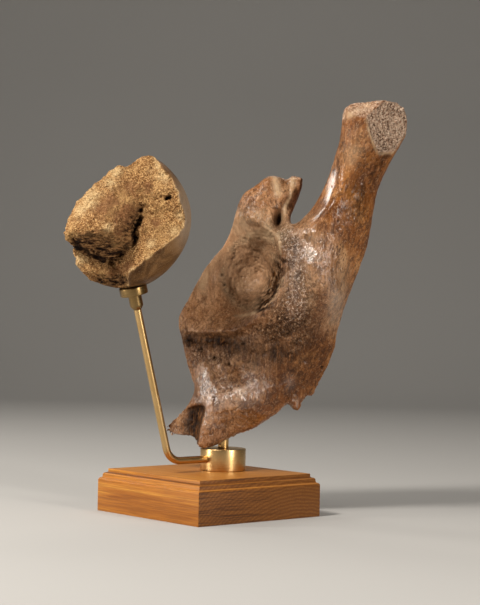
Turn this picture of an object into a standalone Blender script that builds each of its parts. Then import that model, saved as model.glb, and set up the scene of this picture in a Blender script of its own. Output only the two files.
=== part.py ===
"""A fossil hip socket and the fossil ball of its thigh bone on one museum stand.

The pelvis fragment stands on a short brass post. The ball rests on a brass cup at the end of
a bent brass arm. Post and arm both come out of one round brass hub on a moulded oak base.

Frame: the origin is the centre of the base's underside, X and Y run along the base's sides
and Z is up. The arm runs towards -Y. Both fossils are drawn in a display frame that shares the
origin and Z: "across" runs to the right of someone facing the stand's front corner, "deep"
runs away from them. That frame is turned about Z by DISPLAY_TURN.
"""

import math

import bmesh
import bpy
import numpy as np
from mathutils import Matrix, Vector, noise
from mathutils.kdtree import KDTree

MM = 0.001
GAP = 0.0003                            # air left between pieces that touch

# Oak base: a square block with a cove, a round and a stepped panel on top.
BASE_SIDE = 0.190
BASE_FACE_HEIGHT = 0.0372
BASE_HEIGHT = 0.051
COVE_INSET = 0.0035
COVE_TOP = 0.0404
BEAD_INSET = 0.0040
BEAD_BOTTOM = 0.0437
BEAD_TOP = 0.0463
BEAD_TOP_INSET = 0.0069
PANEL_INSET = 0.0086
PANEL_FOOT = 0.0470
PANEL_EDGE = 0.0006

# Brass fittings. Hub and post share an upright axis a little behind the base's centre.
HUB_Y = 0.022
HUB_RADIUS = 0.0275
HUB_TOP = 0.0777
HUB_EDGE = 0.0008
POST_RADIUS = 0.0065
POST_TOP = 0.1080
ARM_RADIUS = 0.0044
ARM_HEIGHT = 0.0654                     # centre line of the level run
ARM_CORNER_Y = -0.0622                  # where the two straight runs would meet
ARM_BEND_RADIUS = 0.022
ARM_LEAN = math.radians(16.1)           # of the upper run, outwards from upright
ARM_UPPER_RUN = 0.1857                  # from the corner to the foot of the cup
CUP_TAPER = 0.0042
CUP_COLLAR_RADIUS = 0.0078
CUP_COLLAR_LENGTH = 0.0135
CUP_RADIUS = 0.0163
CUP_THICKNESS = 0.0098
CUP_EDGE = 0.0007

SEAT_MARGIN = 0.0012                    # air round the cup's rim in the ball's seat

# Both fossils, in the display frame, in millimetres.
DISPLAY_TURN = math.radians(48.67)
FACE_SPACING = 2.4                      # of the points that a fossil's faces are drawn with
SKIN_SQUARE = 2.6                       # side of the squares that the skin is made of
SKIN_SMOOTHING = 2                      # passes that even the skin out
BONE_TRIANGLES = 5200
BALL_TRIANGLES = 2500
THINNEST = 1.0                          # the two faces never come closer than this
USUAL_REACH = 37                        # rounding of an outline that states none
TINY = 1e-6

# Outline of the pelvis fragment: across, up, deep, and how far in the edge is rounded.
# The ischium bar with its broken end, then down the back edge to the thin ilium.
BONE_OUTLINE = [
    (152, 486, -46, 5), (162, 491, -46, 5), (177, 493, -48, 5), (190, 494.5, -48, 5),
    (203, 495, -47, 6), (216, 492, -45, 6), (224, 484, -43, 8), (226.5, 470, -41, 9),
    (226, 458, -39, 10), (221, 447, -37, 16), (214, 434, -34, 22), (206, 418, -31, 24),
    (198, 400, -27, 24), (193, 384, -22, 24), (190, 365, -18, 24), (187.5, 344, -14, 24),
    (184, 323, -10, 24), (177, 300, -6, 24), (169, 278, -2, 24), (162, 259, 0, 22),
    (156, 238, 1, 18), (151, 219, 3, 14), (148, 198, 4, 10), (141, 179, 5, 8),
    (132, 160, 6, 7), (124, 142, 7, 4),
    # The ilium's broken lower edge, with its notch, out to the lowest tip.
    (118, 143, 8, 4), (113, 136, 8, 4), (106, 125, 8, 4), (99, 127.5, 8, 4), (93, 133, 8, 4),
    (84, 124, 8, 5), (69, 113, 8, 5), (51, 101, 9, 6), (36, 96, 11, 6), (26, 91, 12, 6),
    (12, 83, 9, 5), (-6, 78, 2, 3), (-14, 80, -1, 3), (-18, 90, 2, 3),
    # The broken end of the ilium's thick front border.
    (-32, 91.5, 15, 4), (-46, 92.5, 24, 4), (-54.5, 96, 31, 3), (-53, 102, 32, 3),
    (-42, 113, 30, 5), (-30, 125, 26, 8),
    # Up the front border to the corner of the socket's lip.
    (-23.5, 136, 23, 12), (-20, 147, 22, 14), (-21.5, 158, 22, 14), (-26, 170, 23, 13),
    (-30, 182, 24, 12), (-34, 198, 27, 10), (-38, 213, 30, 8), (-41.5, 227, 34, 5),
    # The socket's far rim.
    (-39, 240, 35, 6), (-30, 258, 37, 6), (-14, 290, 40, 6), (-3, 306, 40, 6),
    (8, 319, 39, 6), (16, 331, 36, 8), (21, 344, 31, 12), (26, 361, 26, 16),
    # The pubis and its broken top edge.
    (30, 376, 22, 16), (36, 387, 20, 14), (48, 396, 18, 12), (59, 405, 19, 7),
    (67, 410, 20, 4), (77, 409, 21, 4), (87, 406, 23, 4), (93, 410, 24, 4),
    (99, 410, 25, 4), (107, 407, 26, 4), (106, 396, 27, 8), (102, 383, 26, 12),
    (97, 371, 22, 12), (93, 360, 12, 10),
    # The notch between pubis and bar, and up the bar's front edge.
    (93, 350.5, -2, 10), (100, 351.5, -11, 12), (109, 359, -17, 15), (117, 368.5, -22, 18),
    (124, 380, -26, 20), (130, 392, -30, 20), (135, 404, -34, 20), (139, 417, -38, 18),
    (143, 431, -42, 15), (147, 446, -45, 12), (149, 460, -46, 9), (150, 475, -46, 6),
]

# Faces of the pelvis fragment: across, up, depth of the near face, depth of the far face.
BONE_FACES = [
    # bar
    (157, 475, -68, -20), (180, 477, -76, -18), (214, 469, -64, -16), (153, 435, -68, -12),
    (178, 431, -68, -6), (206, 431, -54, -8), (146, 395, -60, 6), (166, 391, -56, 10),
    (190, 390, -43, 4), (131, 366, -61, 18), (152, 357, -59, 24), (166, 352, -52, 20),
    (185, 349, -38, 10),
    # shoulder between the bar and the socket, the part nearest the front
    (108, 344, -48, 34), (94, 334, -40, 44), (116, 323, -56, 40), (104, 306, -58, 50),
    (141, 318, -56, 32), (168, 314, -30, 14), (124, 294, -64, 44), (149, 271, -46, 28),
    (165, 286, -20, 10), (98, 272, -50, 56),
    # body below the socket's lip
    (78, 238, -36, 56), (105, 238, -42, 46), (131, 238, -34, 30), (150, 236, -14, 10),
    (46, 212, -15, 56), (16, 206, -1, 56), (-14, 208, 12, 54), (-28, 201, 18, 46),
    (-2, 192, 6, 50), (29, 190, -1, 52), (61, 196, -12, 48), (94, 205, -25, 40),
    (127, 206, -22, 22),
    # ilium
    (-18, 166, 8, 38), (2, 164, -5, 42), (29, 167, -9, 42), (62, 167, -17, 36),
    (101, 173, -16, 24), (130, 178, -1, 14), (0, 134, -16, 36), (28, 136, -25, 34),
    (56, 133, -21, 24), (40, 118, -15, 26), (96, 141, 0, 15), (114, 151, 4, 14),
    (107, 129, 3, 13),
    (-5, 89, -12, 20), (18, 99, -8, 33), (49, 106, -1, 22), (-17, 134, -4, 38),
    (-35, 113, 6, 42), (-51, 99, 20, 42), (-21, 97, -4, 36),
    # level of the socket's rim, and the wall behind the socket
    (-37, 228, 26, 50), (-11, 218, 8, 58), (10, 219, -4, 62), (28, 221, -13, 64),
    (54, 236, -26, 66), (77, 262, -33, 64), (86, 292, -34, 62), (84, 308, -32, 60),
    (74, 335, -24, 54), (46, 352, -7, 50), (-14, 290, 34, 58), (8, 318, 32, 58),
    (21, 344, 22, 52), (30, 285, -2, 70),
    # pubis
    (33, 378, 6, 38), (43, 363, -2, 46), (62, 356, -8, 48), (57, 385, 3, 36),
    (84, 384, 4, 38), (73, 402, 9, 33), (98, 401, 14, 36), (92, 372, 8, 38),
]

# Ridges (positive) and grooves (negative) of the near face: height, half width, path.
BONE_STROKES = [
    (2.0, 3.0, [(95, 405), (94, 388), (88, 374), (83, 357)]),
    (1.8, 4.0, [(104, 250), (99, 266), (97, 282), (99, 296)]),
    (-3.2, 4.5, [(190, 434), (179, 416), (169, 400), (161, 386)]),
    (1.5, 5.0, [(178, 434), (168, 416), (158, 400), (150, 386)]),
    (-1.6, 5.0, [(128, 205), (118, 188), (104, 172), (88, 160)]),
    (3.0, 3.5, [(114, 181), (103, 168), (92, 155), (88, 148), (91, 139), (102, 128)]),
    (-2.0, 3.5, [(121, 175), (111, 160), (101, 146)]),
    (2.6, 7.0, [(-8, 176), (-2, 162), (2, 148), (1, 130), (-4, 104)]),
    (-1.8, 6.0, [(12, 172), (15, 155), (12, 138)]),
    (2.4, 8.0, [(14, 142), (28, 146), (44, 154), (56, 160)]),
]

# Broad ridges and hollows of its back.
BACK_STROKES = [
    (5.0, 16, [(183, 470), (160, 405), (132, 350), (112, 300), (104, 250), (92, 200), (70, 150)]),
    (-4.0, 14, [(60, 330), (70, 280), (66, 230), (50, 180)]),
    (3.0, 9, [(76, 400), (60, 370), (36, 340), (6, 300), (-22, 250)]),
]

# Near rim of the socket, then well outside the bone to close the loop.
SOCKET_LOOP = [
    (-46, 228), (-33, 220.5), (-11, 217.5), (10, 219), (28, 221), (41, 227), (54, 236),
    (67, 247), (77, 261), (84, 275), (87, 291), (85, 307), (81, 322), (74, 337), (61, 347),
    (46, 352), (33, 357), (20, 362), (0, 350), (-30, 310), (-60, 250),
]

# Inside of the socket: its rim, then its floor (across, up, depth).
SOCKET_FLOOR = [
    (-41, 226, 31), (-33, 221, 24), (-11, 218, 8), (10, 219, -4), (28, 221, -13),
    (41, 227, -20), (54, 236, -26), (67, 247, -31), (77, 261, -33), (84, 275, -34),
    (87, 291, -34), (85, 307, -32), (81, 322, -28), (74, 337, -21), (61, 347, -12),
    (46, 352, -4), (33, 357, 8), (20, 362, 22),
    (-30, 258, 34), (-14, 290, 37), (8, 318, 36), (21, 344, 28),
    (-16, 239, 27), (10, 237, 19), (34, 239, 8), (52, 250, 0), (64, 262, 0),
    (0, 262, 37), (27, 262, 34), (12, 290, 42), (34, 284, 41), (50, 286, 40),
    (62, 286, 34), (74, 288, 6), (73, 305, 4), (60, 306, 28), (42, 314, 31),
    (26, 316, 34), (66, 326, 6), (50, 334, 10), (36, 340, 16), (71, 273, 6),
]

# Round rough pit in the socket's floor. It deepens towards its lower right wall.
FOSSA_CENTRE = (49, 288)
FOSSA_RADII = (31, 38)
FOSSA_DEPTH = 7
FOSSA_TILT = (0.5, 0.3)                 # share of the depth in the middle, gain towards the wall
FOSSA_WALL = (0.2, 0.7)                 # share of the radius: steep wall, gentle wall
FOSSA_TURN = 2.4                        # how fast the wall goes from steep to gentle

# Crisp lower lip of the socket with the groove under it.
LIP_HEIGHT = 2.0
LIP_WIDTH = 3.2
LIP_BLEND = (2.2, 10)                   # width of the rim's edge below and beside the socket
LIP_END = (34, 66)                      # across: where the lip starts to fade, where it ends
LIP_TOP = (242, 262)                    # up: the same at its left end
UNDERCUT_DEPTH = 8.5
UNDERCUT_OFFSET = 8.5                   # below the lip
UNDERCUT_WIDTH = 7.5
UNDERCUT_MARGIN = 10                    # it fades this near to the outline

# Deep oval hollow at the foot of the notch between pubis and bar.
HOLLOW_CENTRE = (79, 354)
HOLLOW_RADII = (5.5, 10)
HOLLOW_DEPTH = 26

# Planes of the breaks: across, up, depth at that point, then the slopes of the depth going
# across and up. The bar ends in a spongy break and a facet above it.
BAR_BREAK = (176, 464, -75.5, 0.6, -0.08)
BAR_FACET = (168, 477, -72, -0.2, 0.8)
BAR_BREAK_LOOP = [
    (170, 504), (173, 488), (176, 475), (180, 460), (185, 446), (192, 434), (206, 435),
    (222, 440), (238, 450), (238, 504),
]

# Spongy break across the end of the ilium's front border.
ILIUM_BREAK_LOOP = [
    (-66, 90), (-44, 112), (-27, 125.5), (-7, 129), (-9, 111), (-12, 94), (-17, 80),
    (-44, 80),
]
ILIUM_BREAK = (0, 0, -48, -1.04, 0.34)
BREAK_BORDER = 2.5                      # width of the step round a break
BREAK_STEP = 2                          # the ilium's break lies at least this much lower

# Lumps of each surface: height, size, seed. Each further octave is smaller and lower.
LUMP_OCTAVES = 3
LUMP_SHRINK = 2.1
LUMP_FADE = 0.9
BONE_LUMPS = (1.3, 24, 1.7)
BACK_LUMPS = (2.0, 26, 5.1)
FOSSA_LUMPS = (1.0, 8, 7.9)
BAR_BREAK_LUMPS = (1.6, 9, 4.2)
ILIUM_BREAK_LUMPS = (3.0, 10, 9.3)
BALL_BREAK_LUMPS = (2.2, 14, 3.1)
BALL_BORDER_LUMPS = (1.5, 7, 6.4)

# Femoral ball: outline as above (across, up, deep).
BALL_OUTLINE = [
    (-76, 422, -80), (-62, 416, -80), (-50, 406, -80), (-40, 394, -80), (-32, 380, -80),
    (-27, 366, -80), (-25, 351, -80), (-27, 332, -80), (-34, 314, -80), (-45, 297, -80),
    (-59, 283, -80), (-75, 273, -80), (-94, 268.5, -80), (-115, 269, -80), (-136, 275, -82),
    (-148, 284, -84), (-155, 295, -88), (-159, 306, -92), (-160, 315, -99),
    (-164, 319.5, -110), (-167.5, 325, -116), (-167, 333, -114), (-163.5, 347, -108),
    (-157, 362, -102), (-146, 377, -96), (-131, 392, -90), (-117, 404, -86),
    (-107, 409, -84), (-101, 409, -82), (-91, 416, -80), (-83, 421, -80),
]
BALL_CENTRE = (-99, 346, -79)
BALL_RADII = (80.2, 73.5)               # half length and half width of the ball's oval
BALL_LEAN = math.radians(71.3)          # its long axis rises to the right at this angle
BALL_EDGE_ROUND = (4, 15)               # edge rounding on the oval, and where it broke
BALL_MIDDLE_REACH = 30                  # the edge's depth runs into the centre's over this

# Where the broken face meets the smooth joint surface, closed outside the ball.
BREAK_LOOP = [(-66, 415), (-49, 397), (-42, 383), (-37.5, 370), (-33, 357), (-31, 345),
              (-34, 335), (-47, 322), (-60, 311), (-77, 297.5), (-91, 285.5), (-95, 274),
              (-96, 262), (-130, 262), (-175, 290), (-178, 340), (-150, 390), (-100, 426),
              (-72, 426)]
STUMP_RISE = 14                         # the neck's stump stands this far out of the ball
STUMP_ROUND = 12                        # its edge is rounded over this width

# Broken face (across, up, depth): the neck's stump with its beak, the hollow beside it and the
# ledge below. It meets the joint surface along BALL_EDGE (across, up).
BALL_EDGE = [(-66, 415), (-49, 397), (-42, 383), (-37.5, 370), (-33, 357), (-31, 345),
             (-34, 335), (-47, 322), (-60, 311), (-77, 297.5), (-91, 285.5), (-95, 274)]
BALL_BREAK = [
    (-61, 381, -102), (-54, 358, -105), (-63, 340, -110), (-74, 325, -114), (-79, 352, -108),
    (-84, 393, -98), (-99, 402, -91), (-107, 394, -99), (-74, 369, -103),
    (-117, 380, -112), (-130, 370, -120), (-144, 358, -126), (-156, 342, -130),
    (-160, 331, -134), (-147, 331, -146), (-134, 334, -151), (-120, 338, -149),
    (-106, 344, -140), (-96, 354, -123), (-101, 327, -141), (-99, 318, -130),
    (-114, 322, -141), (-131, 325, -146), (-156, 318, -112),
    (-148, 307, -93), (-132, 301, -92), (-114, 298, -96), (-98, 302, -110),
    (-148, 296, -98), (-134, 291, -103), (-118, 287, -106), (-103, 286, -104),
    (-115, 275, -87), (-133, 278, -88),
]

# Valley between stump and ball, with a crevice and a few deep holes (across, up, depth, width).
RAVINE = [(-83, 360), (-85, 348), (-88, 334), (-90, 322), (-97, 313), (-104, 306)]
RAVINE_DEPTH = 6.5
RAVINE_WIDTH = 8
CREVICE = [(-86, 341), (-88.5, 334), (-88, 326), (-86, 321)]
CREVICE_DEPTH = 13
CREVICE_WIDTH = 4
BALL_HOLES = [(-50, 372.5, 9, 3.2), (-83, 359, 10, 3.5), (-104, 307, 10, 4.5)]

# Flat sides of each round piece, and steps of each curve.
HUB_SIDES = 64
POST_SIDES = 28
ARM_SIDES = 16
CUP_SIDES = 48
DRILL_SIDES = 20
SEAT_SIDES = 32
MOULDING_STEPS = 5
BEND_STEPS = 8
ARM_RUN_STEPS = 3

# Edges sharper than this stay crisp, in degrees.
TURNED_EDGE = 30
ROD_EDGE = 40
BROKEN_EDGE = 60

# Colour, roughness and metallic value of each finish.
OAK = ((0.47, 0.25, 0.09), 0.5, 0.0)
BRASS = ((0.78, 0.56, 0.24), 0.28, 1.0)
BROWN_BONE = ((0.24, 0.13, 0.07), 0.42, 0.0)
OCHRE_BONE = ((0.42, 0.27, 0.11), 0.75, 0.0)


def clear_scene():
    """Remove every object, so that the model is all there is."""
    for item in list(bpy.data.objects):
        bpy.data.objects.remove(item, do_unlink=True)


def make_material(name, finish):
    """A Principled BSDF with one finish."""
    colour, roughness, metallic = finish
    material = bpy.data.materials.new(name)
    material.use_nodes = True
    shader = material.node_tree.nodes["Principled BSDF"]
    shader.inputs["Base Color"].default_value = (*colour, 1.0)
    shader.inputs["Roughness"].default_value = roughness
    shader.inputs["Metallic"].default_value = metallic
    return material


def add_object(name, mesh, material, sharp_degrees=None):
    """Put a mesh into the scene as a named object, shaded smooth where it is round."""
    item = bpy.data.objects.new(name, mesh)
    bpy.context.scene.collection.objects.link(item)
    mesh.materials.clear()
    mesh.materials.append(material)
    if sharp_degrees is not None:
        mesh.shade_smooth()
        mesh.set_sharp_from_angle(angle=math.radians(sharp_degrees))
    return item


def mesh_from_bmesh(name, shape):
    """Turn a bmesh into a mesh with its faces pointing out."""
    bmesh.ops.recalc_face_normals(shape, faces=shape.faces)
    mesh = bpy.data.meshes.new(name)
    shape.to_mesh(mesh)
    shape.free()
    return mesh


def skin_rings(rings):
    """A closed bmesh through equal rings of points, capped at both ends."""
    shape = bmesh.new()
    loops = [[shape.verts.new(point) for point in ring] for ring in rings]
    for lower, upper in zip(loops, loops[1:]):
        for i, start in enumerate(lower):
            j = (i + 1) % len(lower)
            shape.faces.new((start, lower[j], upper[j], upper[i]))
    shape.faces.new(reversed(loops[0]))
    shape.faces.new(loops[-1])
    return shape


def turned_rings(profile, place, sides):
    """Rings of a turned piece from (radius, height) pairs, set down by a matrix."""
    rings = []
    for radius, height in profile:
        angles = (2 * math.pi * k / sides for k in range(sides))
        rings.append([place @ Vector((radius * math.cos(a), radius * math.sin(a), height))
                      for a in angles])
    return rings


def build_base(material):
    """Square block whose upper edge is a cove, a bead and a stepped panel."""
    profile = [(0.0, 0.0), (0.0, BASE_FACE_HEIGHT)]
    for k in range(1, MOULDING_STEPS + 1):
        angle = 0.5 * math.pi * k / MOULDING_STEPS
        profile.append((COVE_INSET * (1 - math.cos(angle)),
                        BASE_FACE_HEIGHT + (COVE_TOP - BASE_FACE_HEIGHT) * math.sin(angle)))
    profile.append((BEAD_INSET, BEAD_BOTTOM))
    for k in range(1, MOULDING_STEPS + 1):
        angle = 0.5 * math.pi * k / MOULDING_STEPS
        profile.append((BEAD_INSET + (BEAD_TOP_INSET - BEAD_INSET) * (1 - math.cos(angle)),
                        BEAD_BOTTOM + (BEAD_TOP - BEAD_BOTTOM) * math.sin(angle)))
    profile.append((PANEL_INSET, PANEL_FOOT))
    profile.append((PANEL_INSET, BASE_HEIGHT - PANEL_EDGE))
    profile.append((PANEL_INSET + PANEL_EDGE, BASE_HEIGHT))
    rings = []
    for inset, height in profile:
        half = BASE_SIDE / 2 - inset
        corners = ((-half, -half), (half, -half), (half, half), (-half, half))
        rings.append([Vector((x, y, height)) for x, y in corners])
    return add_object("wood_base", mesh_from_bmesh("wood_base", skin_rings(rings)), material)


def build_hub(material):
    """Turned brass hub standing on the panel."""
    bottom = BASE_HEIGHT + GAP
    profile = [(HUB_RADIUS - HUB_EDGE, bottom), (HUB_RADIUS, bottom + HUB_EDGE),
               (HUB_RADIUS, HUB_TOP - HUB_EDGE), (HUB_RADIUS - HUB_EDGE, HUB_TOP)]
    rings = turned_rings(profile, Matrix.Translation((0, HUB_Y, 0)), HUB_SIDES)
    mesh = mesh_from_bmesh("brass_hub", skin_rings(rings))
    return add_object("brass_hub", mesh, material, TURNED_EDGE)


def build_post(material):
    """Brass post from the hub's top up into the pelvis fragment."""
    profile = [(POST_RADIUS, HUB_TOP + GAP), (POST_RADIUS, POST_TOP - HUB_EDGE),
               (POST_RADIUS - HUB_EDGE, POST_TOP)]
    rings = turned_rings(profile, Matrix.Translation((0, HUB_Y, 0)), POST_SIDES)
    mesh = mesh_from_bmesh("brass_post", skin_rings(rings))
    return add_object("brass_post", mesh, material, TURNED_EDGE)


def arm_direction():
    """Unit vector along the arm's upper run."""
    return Vector((0, -math.sin(ARM_LEAN), math.cos(ARM_LEAN)))


def arm_end():
    """Centre of the arm's upper end."""
    return Vector((0, ARM_CORNER_Y, ARM_HEIGHT)) + arm_direction() * ARM_UPPER_RUN


def build_arm(material):
    """Bent rod: level out of the hub, one bend, then a straight run up to the cup."""
    turn = math.pi / 2 - ARM_LEAN
    tangent = ARM_BEND_RADIUS * math.tan(turn / 2)
    bend_centre = Vector((0, ARM_CORNER_Y + tangent, ARM_HEIGHT + ARM_BEND_RADIUS))
    start = Vector((0, HUB_Y - HUB_RADIUS - GAP, ARM_HEIGHT))
    stations = [(start, 0.0)]
    for k in range(BEND_STEPS + 1):
        angle = turn * k / BEND_STEPS
        offset = Vector((0, -math.sin(angle), -math.cos(angle))) * ARM_BEND_RADIUS
        stations.append((bend_centre + offset, angle))
    bend_end = stations[-1][0]
    for k in range(1, ARM_RUN_STEPS + 1):
        stations.append((bend_end.lerp(arm_end(), k / ARM_RUN_STEPS), turn))
    rings = []
    for centre, angle in stations:
        upward = Vector((0, math.sin(angle), math.cos(angle)))
        ring = []
        for k in range(ARM_SIDES):
            around = 2 * math.pi * k / ARM_SIDES
            ring.append(centre + ARM_RADIUS * (math.cos(around) * Vector((1, 0, 0))
                                               + math.sin(around) * upward))
        rings.append(ring)
    mesh = mesh_from_bmesh("brass_arm", skin_rings(rings))
    return add_object("brass_arm", mesh, material, ROD_EDGE)


def cup_place():
    """Matrix that stands the cup's own Z along the arm's upper run."""
    return Matrix.Translation(arm_end()) @ Matrix.Rotation(ARM_LEAN, 4, "X")


def cup_height():
    """Length of the cup along its axis, from the arm's end to the seat."""
    return GAP + CUP_TAPER + CUP_COLLAR_LENGTH + CUP_THICKNESS


def build_cup(material):
    """Turned brass cup: a taper, a collar and the round seat under the ball."""
    collar_top = GAP + CUP_TAPER + CUP_COLLAR_LENGTH
    top = cup_height()
    profile = [(ARM_RADIUS, GAP), (CUP_COLLAR_RADIUS, GAP + CUP_TAPER),
               (CUP_COLLAR_RADIUS, collar_top), (CUP_RADIUS - CUP_EDGE, collar_top),
               (CUP_RADIUS, collar_top + CUP_EDGE), (CUP_RADIUS, top - CUP_EDGE),
               (CUP_RADIUS - CUP_EDGE, top)]
    rings = turned_rings(profile, cup_place(), CUP_SIDES)
    mesh = mesh_from_bmesh("brass_cup", skin_rings(rings))
    return add_object("brass_cup", mesh, material, TURNED_EDGE)


def closed_curve(points, step):
    """Points about every step along a smooth closed curve; further columns go along."""
    rows = np.array(points, float)
    ahead = np.roll(rows, -1, axis=0)
    chord = np.linalg.norm((ahead - rows)[:, :2], axis=1)
    slope = (ahead - np.roll(rows, 1, axis=0)) / (chord + np.roll(chord, 1))[:, None]
    next_slope = np.roll(slope, -1, axis=0)
    samples = []
    for i, length in enumerate(chord):
        for t in np.linspace(0, 1, max(2, math.ceil(length / step)), endpoint=False):
            samples.append(rows[i] * (1 + 2 * t) * (1 - t) ** 2
                           + ahead[i] * t * t * (3 - 2 * t)
                           + slope[i] * length * t * (1 - t) ** 2
                           - next_slope[i] * length * t * t * (1 - t))
    return np.array(samples)


def thin_plate(rows):
    """Smooth surface through (across, up, depth) rows, as a function of across and up."""
    rows = np.array(rows, float)

    def kernel(squared):
        return 0.5 * squared * np.log(np.maximum(squared, TINY))

    count = len(rows)
    offsets = rows[:, None, :2] - rows[None, :, :2]
    flat = np.column_stack([np.ones(count), rows[:, :2]])
    system = np.zeros((count + 3, count + 3))
    system[:count, :count] = kernel((offsets ** 2).sum(axis=2))
    system[:count, count:] = flat
    system[count:, :count] = flat.T
    weights = np.linalg.solve(system, np.append(rows[:, 2], np.zeros(3)))

    def surface(across, up):
        depth = weights[-3] + weights[-2] * across + weights[-1] * up
        for row, weight in zip(rows, weights):
            depth = depth + weight * kernel((across - row[0]) ** 2 + (up - row[1]) ** 2)
        return depth

    return surface


def inside_loop(loop, across, up):
    """True for the points inside a closed loop."""
    hit = np.zeros(across.shape, bool)
    for start, end in zip(loop, np.roll(loop, -1, axis=0)):
        low, high = sorted((start[1], end[1]))
        if low == high:
            continue
        edge = start[0] + (up - start[1]) * (end[0] - start[0]) / (end[1] - start[1])
        hit ^= (up >= low) & (up < high) & (across < edge)
    return hit


def nearest_on_loop(loop, across, up):
    """Index of the nearest loop point, and the distance to it, for each point."""
    tree = KDTree(len(loop))
    for i, point in enumerate(loop):
        tree.insert((point[0], point[1], 0.0), i)
    tree.balance()
    found = [tree.find((x, y, 0.0)) for x, y in zip(across, up)]
    return np.array([hit[1] for hit in found]), np.array([hit[2] for hit in found])


def depth_inside(points, across, up):
    """Distance to a smooth closed loop, positive inside it."""
    loop = closed_curve(points, 1.0)[:, :2]
    distance = nearest_on_loop(loop, across, up)[1]
    return np.where(inside_loop(loop, across, up), distance, -distance)


def distance_to_path(path, across, up):
    """Distance to an open chain of straight runs."""
    best = np.full(across.shape, np.inf)
    for start, end in zip(path, path[1:]):
        run = np.array(end, float) - np.array(start, float)
        along = ((across - start[0]) * run[0] + (up - start[1]) * run[1]) / (run @ run)
        along = np.clip(along, 0, 1)
        gap = np.hypot(across - start[0] - along * run[0], up - start[1] - along * run[1])
        best = np.minimum(best, gap)
    return best


def bell(distance, width):
    """Rounded peak of height one."""
    return np.exp(-(distance / width) ** 2)


def rounded(share):
    """Quarter circle from 0 at the edge to 1 further in."""
    return np.sqrt(1 - (1 - np.clip(share, 0, 1)) ** 2)


def ease(value):
    """Smooth step from 0 to 1."""
    value = np.clip(value, 0, 1)
    return value * value * (3 - 2 * value)


def lumps(across, up, kind):
    """Lumpy noise of the kind's height, size and seed."""
    height, size, seed = kind
    spots = [Vector((x / size, y / size, seed)) for x, y in zip(across, up)]
    return height * np.array([noise.fractal(spot, LUMP_FADE, LUMP_SHRINK, LUMP_OCTAVES)
                              for spot in spots])


def relief_mesh(name, outline, faces, spacing):
    """Closed body between a near and a far face that meet along an outline.

    faces gets across, up, distance to the outline, the outline's depth and the remaining
    outline column there, and returns the depths of the near and the far face.
    """
    curve = closed_curve(outline, spacing / 3)
    low = curve[:, :2].min(axis=0) - spacing
    high = curve[:, :2].max(axis=0) + spacing
    columns = np.arange(low[0], high[0] + spacing, spacing)
    rows = np.arange(low[1], high[1] + spacing, spacing)
    across, up = np.meshgrid(columns, rows)
    middle_across = across[:-1, :-1] + spacing / 2
    middle_up = up[:-1, :-1] + spacing / 2
    cells = inside_loop(curve[:, :2], middle_across, middle_up)
    touching = np.zeros(across.shape, int)
    for i, j in ((0, 0), (0, 1), (1, 0), (1, 1)):
        touching[i:i + cells.shape[0], j:j + cells.shape[1]] += cells
    used = touching > 0
    inner = touching == 4
    number = np.full(across.shape, -1)
    number[used] = np.arange(used.sum())
    across, up, is_inner = across[used], up[used], inner[used]

    nearest, distance = nearest_on_loop(curve[:, :2], across, up)
    edge = curve[nearest]
    reach = edge[:, 3] if curve.shape[1] > 3 else np.full(len(edge), USUAL_REACH)
    share = np.clip(distance / reach, 0, 1)
    pulled = np.where(share < 1, reach * (1 - np.cos(share * math.pi / 2)), distance)
    pulled = np.where(is_inner, pulled, 0)
    scale = pulled / np.maximum(distance, TINY)
    across = edge[:, 0] + (across - edge[:, 0]) * scale
    up = edge[:, 1] + (up - edge[:, 1]) * scale
    near, far = faces(across, up, pulled, edge[:, 2], reach)
    near = np.minimum(near, far - THINNEST)
    near = np.where(is_inner, near, edge[:, 2])

    shape = bmesh.new()
    near_verts = [shape.verts.new(row) for row in np.column_stack([across, near, up])]
    far_verts = list(near_verts)
    for i in np.flatnonzero(is_inner):
        far_verts[i] = shape.verts.new((across[i], far[i], up[i]))
    for i, j in np.argwhere(cells):
        a, b, c, d = number[i, j], number[i, j + 1], number[i + 1, j + 1], number[i + 1, j]
        shape.faces.new([near_verts[k] for k in (a, b, c, d)])
        if len({far_verts[k] for k in (a, b, c, d)} & set(near_verts)) < 4:
            shape.faces.new([far_verts[k] for k in (d, c, b, a)])
    return mesh_from_bmesh(name, shape)


def evaluated_mesh(item):
    """Mesh of an object with its modifiers applied."""
    graph = bpy.context.evaluated_depsgraph_get()
    return bpy.data.meshes.new_from_object(item.evaluated_get(graph))


def even_skin(name, mesh, triangles, cutters):
    """Remesh a rough body evenly, smooth it, thin it out to a triangle count and cut it."""
    item = bpy.data.objects.new(name + "_form", mesh)
    bpy.context.scene.collection.objects.link(item)
    remesh = item.modifiers.new("Skin", "REMESH")
    remesh.mode = "VOXEL"
    remesh.voxel_size = SKIN_SQUARE
    smooth = item.modifiers.new("Smooth", "SMOOTH")
    smooth.iterations = SKIN_SMOOTHING
    full = len(evaluated_mesh(item).polygons) * 2
    thin = item.modifiers.new("Thin", "DECIMATE")
    thin.ratio = min(1.0, triangles / full)
    thin.use_collapse_triangulate = True
    for cutter in cutters:
        cut = item.modifiers.new("Cut", "BOOLEAN")
        cut.operation = "DIFFERENCE"
        cut.solver = "EXACT"
        cut.object = cutter
    result = evaluated_mesh(item)
    bpy.data.objects.remove(item, do_unlink=True)
    return result


def display_to_world():
    """Matrix from the display frame in millimetres to the world in metres."""
    return Matrix.Rotation(DISPLAY_TURN, 4, "Z") @ Matrix.Scale(MM, 4)


def display_cutter(name, rings):
    """Hidden cutter from world rings, set down in the display frame."""
    mesh = mesh_from_bmesh(name, skin_rings(rings))
    mesh.transform(display_to_world().inverted())
    cutter = bpy.data.objects.new(name, mesh)
    bpy.context.scene.collection.objects.link(cutter)
    cutter.hide_render = True
    cutter.display_type = "WIRE"
    return cutter


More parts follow.
